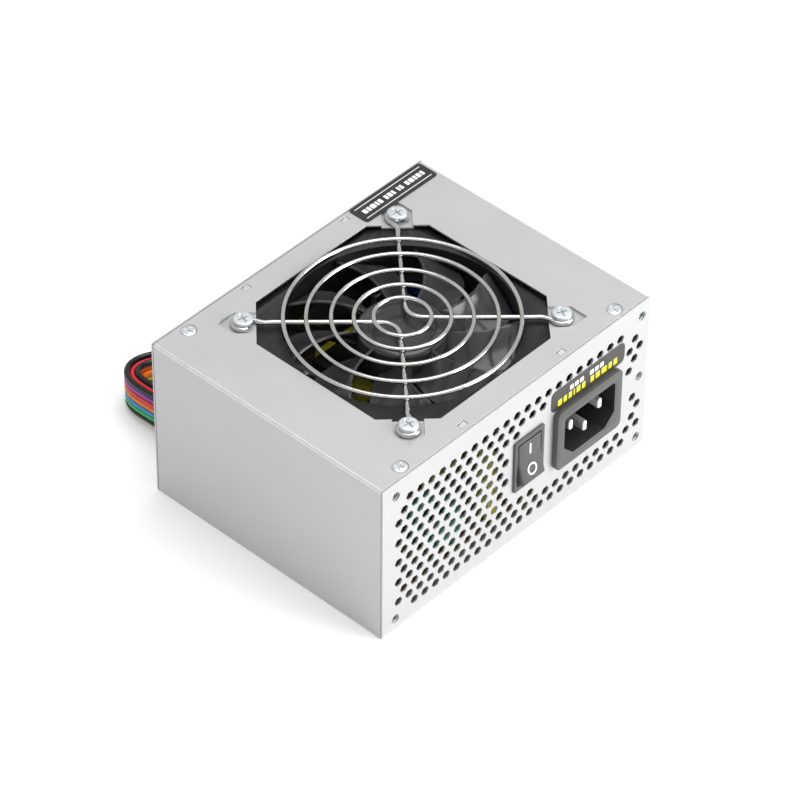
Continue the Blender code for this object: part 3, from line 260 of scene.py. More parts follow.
# Clear polyester sheet, milky at its surface
CLEAR_SHEET = finish("clear_polyester_sheet", "#A8A89E", "#BDBDB4", (0.25, 0.35), 0.0, 8.0)

# Extruded PVC insulation: glossy, a little duller in places from handling
WIRE_SHADES = {
    "black": ("#0B0B0C", "#151517"),
    "purple": ("#7A2F8C", "#94449F"),
    "red": ("#C2202C", "#D8323C"),
    "orange": ("#E06A12", "#F07E22"),
    "blue": ("#1B7DB4", "#2A92CC"),
    "green": ("#1E9C4A", "#2EB45A"),
    "yellow": ("#D8C21A", "#E8D630"),
    "grey": ("#7C7E80", "#8E9092"),
    "brown": ("#5A3018", "#6E3E22"),
}
WIRE = {
    colour: finish(f"{colour}_pvc_insulation", *shades, (0.22, 0.34), 0.0, 3.0)
    for colour, shades in WIRE_SHADES.items()
}

# ---------------------------------------------------------------------------- camera and light

AZIMUTH, ELEVATION = math.radians(-47.36), math.radians(42.48)
DISTANCE, LENS, SENSOR = 1.45612, 203.5, 36.0
SHIFT_X, SHIFT_Y = -0.0024, -0.0029
TARGET = Vector((0.0, 0.0, 0.030))
ROLL = math.radians(0.45)
SKY_STRENGTH = 0.60
FLOOR_HALF = 6.0

# Painted cove, pale and slightly satin. The glow is the light that a real cove gets from all sides.
FLOOR = finish(
    "white_cove_paint", "#F4F4F4", "#F8F8F8", (0.35, 0.45), 0.0, 400.0,
    Emission_Color=(1.0, 1.0, 1.0, 1.0), Emission_Strength=0.20,
)


def make_camera():
    """A long lens that looks down at the rear and left sides."""
    data = bpy.data.cameras.new("camera")
    data.lens, data.sensor_width = LENS, SENSOR
    data.shift_x, data.shift_y = SHIFT_X, SHIFT_Y
    data.clip_start, data.clip_end = 0.05, 50.0
    camera = bpy.data.objects.new("camera", data)
    scene.collection.objects.link(camera)
    back = Vector(
        (
            math.sin(AZIMUTH) * math.cos(ELEVATION),
            -math.cos(AZIMUTH) * math.cos(ELEVATION),
            math.sin(ELEVATION),
        )
    )
    camera.location = TARGET + back * DISTANCE
    aim = (-back).to_track_quat("-Z", "Y").to_matrix() @ Matrix.Rotation(ROLL, 3, "Z")
    camera.rotation_euler = aim.to_euler()
    scene.camera = camera


def soft_light(name, place, aim, size, power):
    """A rectangular softbox at a place, facing a point; power is in watts."""
    data = bpy.data.lights.new(name, "AREA")
    data.shape = "RECTANGLE"
    data.size, data.size_y = size
    data.energy = power
    light = bpy.data.objects.new(name, data)
    scene.collection.objects.link(light)
    light.location = place
    light.rotation_euler = (Vector(aim) - Vector(place)).to_track_quat("-Z", "Y").to_euler()


def make_studio():
    """A white cove, lit softly from the panel's side and from above."""
    scene.view_settings.view_transform = "Standard"
    scene.view_settings.look = "None"
    world = bpy.data.worlds.new("studio")
    world.use_nodes = True
    sky = world.node_tree.nodes["Background"]
    sky.inputs["Color"].default_value = (1.0, 1.0, 1.0, 1.0)
    sky.inputs["Strength"].default_value = SKY_STRENGTH
    scene.world = world
    soft_light("panel_softbox", (1.0, -1.7, 0.75), (0, -0.05, 0.03), (1.4, 1.0), 40)
    soft_light("top_softbox", (0.3, -0.1, 1.9), (0, 0, 0.03), (1.6, 1.4), 22)
    mesh = bpy.data.meshes.new("studio_floor")
    around = ((-1, -1), (1, -1), (1, 1), (-1, 1))
    corners = [(FLOOR_HALF * x, FLOOR_HALF * y, 0) for x, y in around]
    mesh.from_pydata(corners, [], [(0, 1, 2, 3)])
    floor = new_piece("studio_floor", mesh, FLOOR)


make_camera()
make_studio()

# ---------------------------------------------------------------------------- the output lead

WIRE_D = 2.05 * MM
LAYER_STEP = WIRE_D * math.cos(math.radians(30))
LAYERS = (
    ("black", "purple", "red", "orange", "blue", "green", "black"),
    ("red", "black", "orange", "red", "black", "yellow"),
    ("black", "orange", "red", "black", "grey", "red", "black"),
    ("orange", "yellow", "black"),
)
LEAD_ROUTE = (
    (-0.0408, 0.0512, 0.0106),
    (-0.0408, 0.0600, 0.0101),
    (-0.0408, 0.0680, 0.0096),
    (-0.0408, 0.0750, 0.0092),
    (-0.0405, 0.0800, 0.0088),
    (-0.0389, 0.0840, 0.0083),
    (-0.0354, 0.0861, 0.0078),
    (-0.0314, 0.0856, 0.0075),
    (-0.0280, 0.0838, 0.0074),
    (-0.0245, 0.0828, 0.0074),
    (-0.0213, 0.0826, 0.0074),
)
LEAD_START = (-0.0408, 0.0385, 0.0108)
WALL_END_Y = 0.0515  # past the front wall and its grommet
LEAD_STEP = 1.5 * MM
ROUNDING_PASSES = 3

# The hank's three runs, from the outer one in, their middle height, and where they turn back
RUN_Y = (0.0823, 0.0686, 0.0548)
HANK_Z = 0.0074
RUN_START_X = -0.0198
FOLD_X = (0.0390, -0.0092)
FOLD_STEPS = 14
# The runs draw together towards the tie, and lie on its strap
PINCH_Y = (0.0764, 0.0686, 0.0608)
PINCH_X, PINCH_REACH = 0.0050, 0.018
TIE_LIFT, TIE_REACH = 0.9 * MM, (0.002, 0.014)
# The wires fan out sideways to the connector, and from a little later also up or down
SPREAD_X, LEAD_END_X = (0.0560, 0.0830), 0.0856
RISE_START_X = SPREAD_X[0] + 0.009

# The connector's two rows of cavities, and how many wires of each layer enter the upper one
CAVITY_Z, CAVITY_PITCH = 0.0050, 0.0042
CAVITIES_IN_ROW = 12
UPPER_SHARE = (4, 3, 3, 2)


def smooth_path(route, step):
    """Points about a step apart on a smooth curve through the route's own points."""
    ends = [route[0], *route, route[-1]]
    path = [Vector(route[0])]
    for before, start, end, after in zip(ends, ends[1:], ends[2:], ends[3:]):
        before, start, end, after = map(Vector, (before, start, end, after))
        count = max(1, round((end - start).length / step))
        for i in range(1, count + 1):
            t = i / count
            slope = end - before
            bend = 2 * before - 5 * start + 4 * end - after
            twist = 3 * start - before - 3 * end + after
            path.append(0.5 * (2 * start + slope * t + bend * t * t + twist * t**3))
    return path


def run_line(run, x0, x1):
    """One straight run of the hank, pinched towards the middle under the tie."""
    count = max(2, round(abs(x1 - x0) / LEAD_STEP))
    points = []
    for i in range(count + 1):
        x = x0 + (x1 - x0) * i / count
        near = min(1.0, abs(x - PINCH_X) / PINCH_REACH)
        share = 0.5 + 0.5 * math.cos(math.pi * near)
        points.append(Vector((x, RUN_Y[run] + (PINCH_Y[run] - RUN_Y[run]) * share, HANK_Z)))
    return points


def fold_line(x, y0, y1, side):
    """A half turn from y0 to y1, bulging to +X or -X."""
    radius = abs(y1 - y0) / 2
    middle = Vector((x, (y0 + y1) / 2, HANK_Z))
    points = []
    for i in range(1, FOLD_STEPS):
        angle = math.pi / 2 - math.pi * i / FOLD_STEPS
        points.append(middle + radius * Vector((side * math.cos(angle), math.sin(angle), 0.0)))
    return points


def lead_line():
    """The middle of the band of wires from the board to the connector."""
    line = smooth_path([LEAD_START, *LEAD_ROUTE], LEAD_STEP)[:-1]
    line += run_line(0, RUN_START_X, FOLD_X[0])
    line += fold_line(FOLD_X[0], RUN_Y[0], RUN_Y[1], 1)
    line += run_line(1, FOLD_X[0], FOLD_X[1])
    line += fold_line(FOLD_X[1], RUN_Y[1], RUN_Y[2], -1)
    line += run_line(2, FOLD_X[1], LEAD_END_X)
    for _ in range(ROUNDING_PASSES):
        inner = [(a + 2 * b + c) / 4 for a, b, c in zip(line, line[1:], line[2:])]
        line = [line[0], *inner, line[-1]]
    return line


def ease(value, low, high):
    """0 below low and 1 above high, with a smooth change between."""
    t = min(1.0, max(0.0, (value - low) / (high - low)))
    return t * t * (3 - 2 * t)


def cavity_places():
    """Where each wire enters the connector, as (y, z): two rows, filled from +Y to -Y."""
    upper, lower = [], []
    for layer, colours in enumerate(LAYERS):
        wires = [(layer, index) for index in range(len(colours))]
        first = wires[: UPPER_SHARE[layer]]
        upper += first if layer < 2 else first[::-1]
        lower += wires[UPPER_SHARE[layer] :][::-1]
    low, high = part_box("main_connector")
    y_mid = (low.y + high.y) / 2
    places = {}
    for row, side in ((upper, 0.5), (lower, -0.5)):
        for column, wire in enumerate(row):
            across = (CAVITIES_IN_ROW - 1) / 2 - column
            places[wire] = (y_mid + CAVITY_PITCH * across, CAVITY_Z + CAVITY_PITCH * side)
    return places


def wire_line(line, layer, index, cavity, wander):
    """One wire's own path: beside the middle line, by its place in the band."""
    side = LAYER_STEP * ((len(LAYERS) - 1) / 2 - layer)
    # The short last layer is placed as if it had four wires, so that it nests in the third
    rise = WIRE_D * ((max(len(LAYERS[layer]), 4) - 1) / 2 - index)
    points = []
    travelled = 0.0
    for i, middle in enumerate(line):
        before, after = line[max(0, i - 1)], line[min(len(line) - 1, i + 1)]
        heading = (after - before).normalized()
        travelled += (middle - before).length
        left = Vector((-heading.y, heading.x, 0.0)).normalized()
        drift = [reach * math.sin(travelled / wave + phase) for reach, wave, phase in wander]
        point = middle + left * (side + drift[0]) + Vector((0, 0, rise + drift[1]))
        if middle.y > WALL_END_Y:
            point.z += TIE_LIFT * (1 - ease(abs(middle.x - PINCH_X), *TIE_REACH))
        if i > len(line) // 2 and middle.x > SPREAD_X[0]:
            point.y += (cavity[0] - point.y) * ease(middle.x, *SPREAD_X)
            point.z += (cavity[1] - point.z) * ease(middle.x, RISE_START_X, SPREAD_X[1])
        point.z = max(point.z, WIRE_D / 2 + 0.1 * MM)
        points.append(point)
    return points


def wire_curve(name, points, radius, material, sides=3):
    """A round wire through these points."""
    curve = bpy.data.curves.new(name, "CURVE")
    curve.dimensions = "3D"
    curve.bevel_depth = radius
    curve.bevel_resolution = sides
    curve.use_fill_caps = True
    spline = curve.splines.new("POLY")
    spline.points.add(len(points) - 1)
    for point, place in zip(spline.points, points):
        point.co = (*place, 1.0)
    spline.use_smooth = True
    curve.materials.append(material)
    piece = bpy.data.objects.new(name, curve)
    scene.collection.objects.link(piece)
    return piece


def output_lead():
    """The 23 wires of the lead."""
    draw = random.Random(24)
    line = lead_line()
    cavities = cavity_places()
    for layer, colours in enumerate(LAYERS):
        for index, colour in enumerate(colours):
            wander = [
                (0.05 * MM, draw.uniform(0.009, 0.016), draw.uniform(0, math.tau)),
                (0.03 * MM, draw.uniform(0.009, 0.016), draw.uniform(0, math.tau)),
            ]
            points = wire_line(line, layer, index, cavities[layer, index], wander)
            name = f"lead_wire_{layer}_{index}_{colour}"
            wire = wire_curve(name, points, WIRE_D / 2, WIRE[colour])
            place_piece(wire, "case", ("lead_band", "lead_hank", "lead_fan_out"))


# ---------------------------------------------------------------------------- skins of CAD nodes


WELD = 2e-6
FLAT_ANGLE, EDGE_ANGLE = 0.4, 30
# STRAIGHT picks the sheet's faces that get the painted highlight
STRAIGHT = 0.97  # a face whose normal has less than this along every axis is on a fold


def skin(node, body, slot, material, width, segments):
    """A copy of a CAD node, merged into a whole mesh, with softened edges, standing for it."""
    bm = bmesh.new()
    bm.from_mesh(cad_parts[node].data)
    bmesh.ops.remove_doubles(bm, verts=bm.verts, dist=WELD)
    bmesh.ops.dissolve_limit(
        bm, angle_limit=math.radians(FLAT_ANGLE), verts=bm.verts, edges=bm.edges, delimit={"NORMAL"}
    )
    mesh = bpy.data.meshes.new(node + "_skin")
    bm.to_mesh(mesh)
    bm.free()
    mesh.materials.clear()
    piece = new_piece(node + "_skin", mesh, material)
    smooth(mesh, EDGE_ANGLE)
    if width:
        bevelled(piece, width * MM, segments, EDGE_ANGLE)
        piece = plain(piece)
        smooth(piece.data, EDGE_ANGLE + 10)
    if material is ZINC_SHEET:
        piece.data.shade_flat()
        # Painted highlight: faces on folds, pockets and punched edges get the brighter edge material
        piece.data.materials.append(ZINC_FOLD_HIGHLIGHT)
        for face in piece.data.polygons:
            face.material_index = int(max(map(abs, face.normal)) < STRAIGHT)
    return place_piece(piece, body, [node])


SKINS = (
    # nodes, body, slot, material, edge radius in mm, segments
    ("base_shell", "case", "zinc_plated_steel", ZINC_SHEET, 0.04, 1),
    ("top_cover", "case", "zinc_plated_steel", ZINC_SHEET, 0.06, 1),
    ("inlet_label", "case", "printed_label", LABEL_FILM, 0.03, 1),
    ("seal_sticker", "case", "printed_label", BLACK_FILM, 0.03, 1),
    ("fan_frame", "case", "black_plastic", BLACK_PBT, 0.25, 2),
    ("rotor_magnet", "fan", "ferrite", FERRITE, 0.10, 1),
    ("fan_shaft", "fan", "plated_contact", NICKEL_BRASS, 0.10, 1),
    ("fan_bearing", "case", "enamelled_copper", BRONZE, 0.10, 1),
    ("fan_stator", "case", "enamelled_copper", COPPER, 0.40, 2),
    ("inlet_housing", "case", "dark_grey_plastic", GREY_NYLON, 0.25, 2),
    (
        "inlet_pin_live inlet_pin_neutral inlet_pin_earth",
        "case", "plated_contact", NICKEL_BRASS, 0.15, 2,
    ),
    ("switch_body", "case", "dark_grey_plastic", GREY_NYLON, 0.15, 2),
    ("switch_rocker", "rocker", "dark_grey_plastic", GREY_ROCKER, 0.12, 2),
    ("main_board", "case", "paper_laminate", PAPER_BOARD, 0.05, 1),
    ("insulation_sheet", "case", "insulation_film", CLEAR_SHEET, 0.05, 1),
    ("main_transformer_core", "case", "ferrite", FERRITE, 0.50, 2),
    ("main_transformer_winding", "case", "yellow_tape", YELLOW_TAPE, 0.50, 2),
    ("bulk_capacitor_1 bulk_capacitor_2", "case", "blue_sleeve", BLUE_SLEEVE, 0.25, 2),
    ("primary_heatsink secondary_heatsink", "case", "mill_aluminium", MILL_ALUMINIUM, 0.20, 2),
    ("power_transistor", "case", "black_plastic", EPOXY, 0.30, 2),
    ("output_rectifier", "case", "black_plastic", EPOXY, 0.20, 2),
    ("output_choke", "case", "enamelled_copper", COPPER, 0.30, 2),
    ("output_capacitor_1 output_capacitor_2", "case", "black_plastic", BLACK_SLEEVE, 0.20, 2),
    ("standby_transformer", "case", "yellow_tape", YELLOW_TAPE, 0.20, 2),
    ("line_filter_choke", "case", "green_coating", TEAL_COATING, 0.30, 2),
    ("filter_capacitor", "case", "yellow_tape", YELLOW_TAPE, 0.20, 2),
    ("suppression_capacitor", "case", "blue_sleeve", BLUE_SLEEVE, 0.40, 2),
    ("bridge_rectifier", "case", "black_plastic", EPOXY, 0.20, 2),
    ("fuse", "case", "natural_nylon", CERAMIC, 0.20, 2),
    ("control_board", "case", "green_laminate", GREEN_BOARD, 0.05, 1),
    ("live_lead", "case", "wire_insulation", WIRE["brown"], 0.0, 1),
    ("neutral_lead", "case", "wire_insulation", WIRE["blue"], 0.0, 1),
    ("earth_lead", "case", "wire_insulation", WIRE["green"], 0.0, 1),
    ("fan_lead", "case", "wire_insulation", WIRE["black"], 0.0, 1),
    ("cable_grommet", "case", "black_rubber", BLACK_RUBBER, 0.30, 2),
    ("cable_tie", "case", "black_plastic", BLACK_NYLON, 0.12, 1),
    ("main_connector", "case", "natural_nylon", NATURAL_NYLON, 0.15, 2),
    ("connector_latch", "latch", "natural_nylon", NATURAL_NYLON, 0.15, 2),
)
skins = {node: skin(node, *looks) for nodes, *looks in SKINS for node in nodes.split()}


def paint_inside(piece, material, low, high):
    """A second material on the faces whose middles lie in a box."""
    piece.data.materials.append(material)
    for face in piece.data.polygons:
        if all(a < c < b for a, b, c in zip(low, high, face.center)):
            face.material_index = 1


inlet_low, inlet_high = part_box("inlet_housing")
INLET_WALL, INLET_DEPTH = 0.0033, 0.0180
# Painted shade: the faces inside the inlet's deep cavity are painted black
paint_inside(
    skins["inlet_housing"],
    INLET_CAVITY_SHADE,
    (inlet_low.x + INLET_WALL, inlet_low.y + 0.3 * MM, inlet_low.z + INLET_WALL),
    (inlet_high.x - INLET_WALL, inlet_low.y + INLET_DEPTH, inlet_high.z - INLET_WALL),
)

output_lead()

# ---------------------------------------------------------------------------- geometry node trees


def tree_for(name, sizes):
    """A Geometry Nodes tree with one named input for each size, and its input and output nodes."""
    tree = bpy.data.node_groups.new(name, "GeometryNodeTree")
    face = tree.interface
    face.new_socket("Geometry", in_out="INPUT", socket_type="NodeSocketGeometry")
    for label, value in sizes.items():
        kind = "NodeSocketInt" if isinstance(value, int) else "NodeSocketFloat"
        face.new_socket(label, in_out="INPUT", socket_type=kind).default_value = value
    face.new_socket("Geometry", in_out="OUTPUT", socket_type="NodeSocketGeometry")
    return tree, add(tree, "NodeGroupInput").outputs


def closed_tree(tree, geometry, material):
    """Ends a tree with Realize Instances and Set Material."""
    real = add(tree, "GeometryNodeRealizeInstances", {"Geometry": geometry})
    painted = add(
        tree, "GeometryNodeSetMaterial", {"Geometry": real.outputs[0], "Material": material}
    )
    add(tree, "NodeGroupOutput", {"Geometry": painted.outputs[0]})
    return tree


def grown(name, tree, sizes=(), points=((0.0, 0.0, 0.0),), more=None):
    """The plain mesh that a tree makes from a set of points."""
    mesh = bpy.data.meshes.new(name)
    mesh.from_pydata([tuple(p) for p in points], [], [])
    piece = new_piece(name, mesh, None)
    modifier = piece.modifiers.new("tree", "NODES")
    modifier.node_group = tree
    for item in tree.interface.items_tree:
        if item.in_out == "INPUT" and item.name in dict(sizes):
            modifier[item.identifier] = dict(sizes)[item.name]
    if more:
        more(piece)
    return plain(piece)


# ---------------------------------------------------------------------------- screws


def turned_mesh(name, profile, steps=28):
    """A closed turned shape from (radius, height) points, from the top's middle to the bottom's."""
    bm = bmesh.new()
    rings = []
    for radius, height in profile:
        if radius == 0:
            rings.append([bm.verts.new((0, 0, height))])
            continue
        turns = (math.tau * i / steps for i in range(steps))
        circle = [(radius * math.cos(a), radius * math.sin(a), height) for a in turns]
        rings.append([bm.verts.new(place) for place in circle])
    for upper, lower in zip(rings, rings[1:]):
        for i in range(steps):
            k = (i + 1) % steps
            if len(upper) == 1:
                bm.faces.new((upper[0], lower[i], lower[k]))
            elif len(lower) == 1:
                bm.faces.new((upper[i], lower[0], upper[k]))
            else:
                bm.faces.new((upper[i], lower[i], lower[k], upper[k]))
    bmesh.ops.recalc_face_normals(bm, faces=bm.faces)
    mesh = bpy.data.meshes.new(name)
    bm.to_mesh(mesh)
    bm.free()
    return mesh


def cross_recess(width, reach, depth):
    """A cross-head driver's point, pointing down from zero: two crossed wedges."""
    bm = bmesh.new()
    for turn in (0.0, math.pi / 2):
        made = bmesh.ops.create_cube(bm, size=1.0)["verts"]
        for vert in made:
            low = vert.co.z < 0
            vert.co.x *= 2 * reach * (0.45 if low else 1.0)
            vert.co.y *= width * (0.7 if low else 1.0)
            vert.co.z = -depth if low else 0.5 * MM
        bmesh.ops.rotate(bm, verts=made, cent=(0, 0, 0), matrix=Matrix.Rotation(turn, 3, "Z"))
    mesh = bpy.data.meshes.new("driver_point")
    bm.to_mesh(mesh)
    bm.free()
    return new_piece("driver_point", mesh, None)


def screw_head(name, profile, width, reach, depth):
    """A turned screw with a cross recess of this arm width, reach and depth in its top."""
    head = new_piece(name, turned_mesh(name, profile), ZINC_SCREW)
    driver = cross_recess(width, reach, depth)
    cut = head.modifiers.new("recess", "BOOLEAN")
    cut.operation, cut.solver, cut.object = "DIFFERENCE", "EXACT", driver
    cut.use_self = True
    bevelled(head, 0.06 * MM, 1, 40)
    head = plain(head)
    smooth(head.data, 40)
    bpy.data.objects.remove(driver, do_unlink=True)
    return head


def screw_tree(name, head):
    """A screw on each point, each turned as the driver happened to leave it."""
    tree, given = tree_for(name, {"Seed": 5})
    source = add(tree, "GeometryNodeObjectInfo", {"Object": head})
    turn = add(tree, "FunctionNodeRandomValue", {2: 0.0, 3: math.pi / 2, "Seed": given["Seed"]})
    spin = add(tree, "ShaderNodeCombineXYZ", {"Z": turn.outputs[1]})
    screws = add(
        tree,
        "GeometryNodeInstanceOnPoints",
        {
            "Points": given["Geometry"],
            "Instance": source.outputs["Geometry"],
            "Rotation": spin.outputs["Vector"],
        },
    )
    return closed_tree(tree, screws.outputs["Instances"], ZINC_SCREW)


def screw_group(name, nodes, head, seed):
    """Screws on the places of their CAD nodes, whose highest points give the heads' tops."""
    points = []
    for node in nodes:
        low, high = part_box(node)
        points.append(((low.x + high.x) / 2, (low.y + high.y) / 2, high.z))
    tree = screw_tree(name + "_tree", head)
    piece = grown(name, tree, {"Seed": seed}, points)
    smooth(piece.data, 40)
    place_piece(piece, "case", nodes)
    bpy.data.objects.remove(head, do_unlink=True)


def pan_profile(radius, height, shank, length):
    """A pan head with a soft shoulder and a threaded shank, its top at zero."""
    crown, crown_drop, shoulder_drop = 0.84, 0.05, 0.45
    profile = [(0.0, 0.0), (radius * crown, -crown_drop * height)]
    for i in range(1, 7):
        angle = math.radians(15 * i)
        across = crown + (1 - crown) * math.sin(angle)
        down = crown_drop + shoulder_drop * (1 - math.cos(angle))
        profile.append((radius * across, -height * down))
    profile += [(radius, -height), (shank, -height)]
    return profile + threaded(shank, -height, length)


def countersunk_profile(radius, height, shank, length):
    """A flat head over a cone and a threaded shank, its top at zero."""
    rim = 0.08 * MM
    profile = [(0.0, 0.0), (radius - 0.1 * MM, 0.0), (radius, -rim), (shank, -height)]
    return profile + threaded(shank, -height, length)


def threaded(shank, start, length):
    """Ridges down a shank, as the outline of its thread."""
    pitch, plain_top, plain_tip = 0.7 * MM, 0.3 * MM, 0.2 * MM
    rows = []
    for i in range(max(2, int((length - 2 * plain_top) / pitch))):
        z = start - plain_top - i * pitch
        rows += [(shank, z - 0.1 * pitch), (shank * 0.82, z - 0.55 * pitch)]
    return rows + [(shank * 0.8, start - length + plain_tip), (0.0, start - length)]


# Kind, profile (head radius and height, shank radius and length), recess (arm width, reach and
# depth), seed
SCREWS = (
    ("fan", pan_profile(0.0033, 0.0013, 0.0016, 0.0080), (0.0008, 0.0022, 0.0016), 3),
    ("cover", countersunk_profile(0.0025, 0.0012, 0.0014, 0.0036), (0.0005, 0.0016, 0.0008), 8),
    ("board", pan_profile(0.0026, 0.0016, 0.0012, 0.0050), (0.0005, 0.0013, 0.0009), 11),
)
for kind, profile, recess, seed in SCREWS:
    head = screw_head(f"{kind}_screw_head", profile, *recess)
    screw_group(f"{kind}_screws", [f"{kind}_screw_{i}" for i in range(1, 5)], head, seed)

# ---------------------------------------------------------------------------- wire grille

CASE_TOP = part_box("top_cover")[1].z
RING_RADII = (0.0092, 0.0155, 0.0227, 0.0306, 0.0379)
RING_WIRE_R, SPOKE_WIRE_R = 0.00075, 0.00085
SPOKE_Z = 0.06345
RING_Z = SPOKE_Z + SPOKE_WIRE_R + RING_WIRE_R - 0.00025
FAN_HOLE, EYELET_R = 0.03575, 0.0033  # a fan screw's place along X and Y, and its eyelet
ELBOW_X, ELBOW_R = 0.0015, 0.0060  # where the spoke's two legs would meet, and their bend


def ring_tree():
    """Wire rings: a circle for each point, as wide as the point is far out along X."""
    sizes = {"Wire radius": RING_WIRE_R, "Ring sides": 96, "Wire sides": 12}
    tree, given = tree_for("wire_rings", sizes)
    unit = {"Resolution": given["Ring sides"], "Radius": 1.0}
    circle = add(tree, "GeometryNodeCurvePrimitiveCircle", unit)
    where = add(tree, "GeometryNodeInputPosition")
    split = add(tree, "ShaderNodeSeparateXYZ", {"Vector": where.outputs[0]})
    across = split.outputs["X"]
    size = add(tree, "ShaderNodeCombineXYZ", {"X": across, "Y": across, "Z": 1.0})
    on_axis = add(tree, "ShaderNodeCombineXYZ", {"Z": split.outputs["Z"]})
    store = add(tree, "GeometryNodeCaptureAttribute", {"Geometry": given["Geometry"]}, domain="POINT")
    store.capture_items.new("VECTOR", "Size")
    tree.links.new(size.outputs[0], store.inputs[1])
    moved = add(
        tree,
        "GeometryNodeSetPosition",
        {"Geometry": store.outputs["Geometry"], "Position": on_axis.outputs[0]},
    )
    rings = add(
        tree,
        "GeometryNodeInstanceOnPoints",
        {
            "Points": moved.outputs[0],
            "Instance": circle.outputs["Curve"],
            "Scale": store.outputs[1],
        },
    )
    curves = add(tree, "GeometryNodeRealizeInstances", {"Geometry": rings.outputs["Instances"]})
    section = add(
        tree,
        "GeometryNodeCurvePrimitiveCircle",
        {"Resolution": given["Wire sides"], "Radius": given["Wire radius"]},
    )
    wires = add(
        tree,
        "GeometryNodeCurveToMesh",
        {"Curve": curves.outputs[0], "Profile Curve": section.outputs["Curve"]},
    )
    return closed_tree(tree, wires.outputs["Mesh"], NICKEL_WIRE)


def spoke_line(side):
    """One bent wire: an eyelet round a screw, in over the hub, and out to the next eyelet."""
    screw = Vector((FAN_HOLE, FAN_HOLE, 0))
    towards = Vector((-1, -1, 0)).normalized()
    # The eyelet's turn ends 28 degrees short of the direction to the hub, where the neck begins
    eyelet_end, eyelet_step, eyelet_points = 225 - 28, 9.5, 28
    angles = (math.radians(eyelet_end + eyelet_step * i) for i in range(-eyelet_points, 1))
    turn = [screw + EYELET_R * Vector((math.cos(a), math.sin(a), 0)) for a in angles]
    neck = [screw + towards * (EYELET_R + out) for out in (0.0030, 0.0060)]
    leg = [neck[-1].lerp(Vector((ELBOW_X, 0, 0)), share) for share in (0.25, 0.50, 0.70)]
    bend = Vector((ELBOW_X + ELBOW_R * math.sqrt(2), 0, 0))
    angles = (math.radians(a) for a in (135, 146, 157, 168, 177))
    elbow = [bend + ELBOW_R * Vector((math.cos(a), math.sin(a), 0)) for a in angles]
    half = turn + neck + leg + elbow
    whole = half + [Vector((p.x, -p.y, 0)) for p in reversed(half)]
    path = smooth_path([tuple(p) for p in whole], 0.6 * MM)
    return [(side * p.x, p.y, SPOKE_Z) for p in path]


def grille():
    """Five rings on two bent spokes."""
    points = [(r, 0.0, RING_Z) for r in RING_RADII]
    rings = grown("grille_rings", ring_tree(), {}, points)
    smooth(rings.data, 60)
    place_piece(rings, "case", ["fan_grille"])
    for name, side in (("left", -1), ("right", 1)):
        wire = wire_curve(f"grille_spokes_{name}", spoke_line(side), SPOKE_WIRE_R, NICKEL_WIRE, 4)
        wire = plain(wire)
        smooth(wire.data, 60)
        place_piece(wire, "case", ["fan_grille"])


grille()

# ---------------------------------------------------------------------------- fan rotor

HUB_R, HUB_TOP = 0.0147, 0.0612
HUB_DEPTH, HUB_WALL = 0.0110, 0.0012
HUB_DISH = 0.0006  # how far the hub's face lies below its rim
SHAFT_BOSS_R, SHAFT_R = 0.0034, 0.0015
BLADES, BLADE_TIP_R = 9, 0.0378
BLADE_CHORD, BLADE_SWEEP, BLADE_START = math.radians(29), math.radians(15), math.radians(145)
BLADE_ROOT_R = HUB_R - 0.0006
BLADE_THICK = 1.0 * MM
CORNER_SHARPNESS, CORNER_DRAW = 14.0, 0.16
CAMBER = math.pi / 2 * 0.96  # how much of a quarter sine wave the blade's section follows


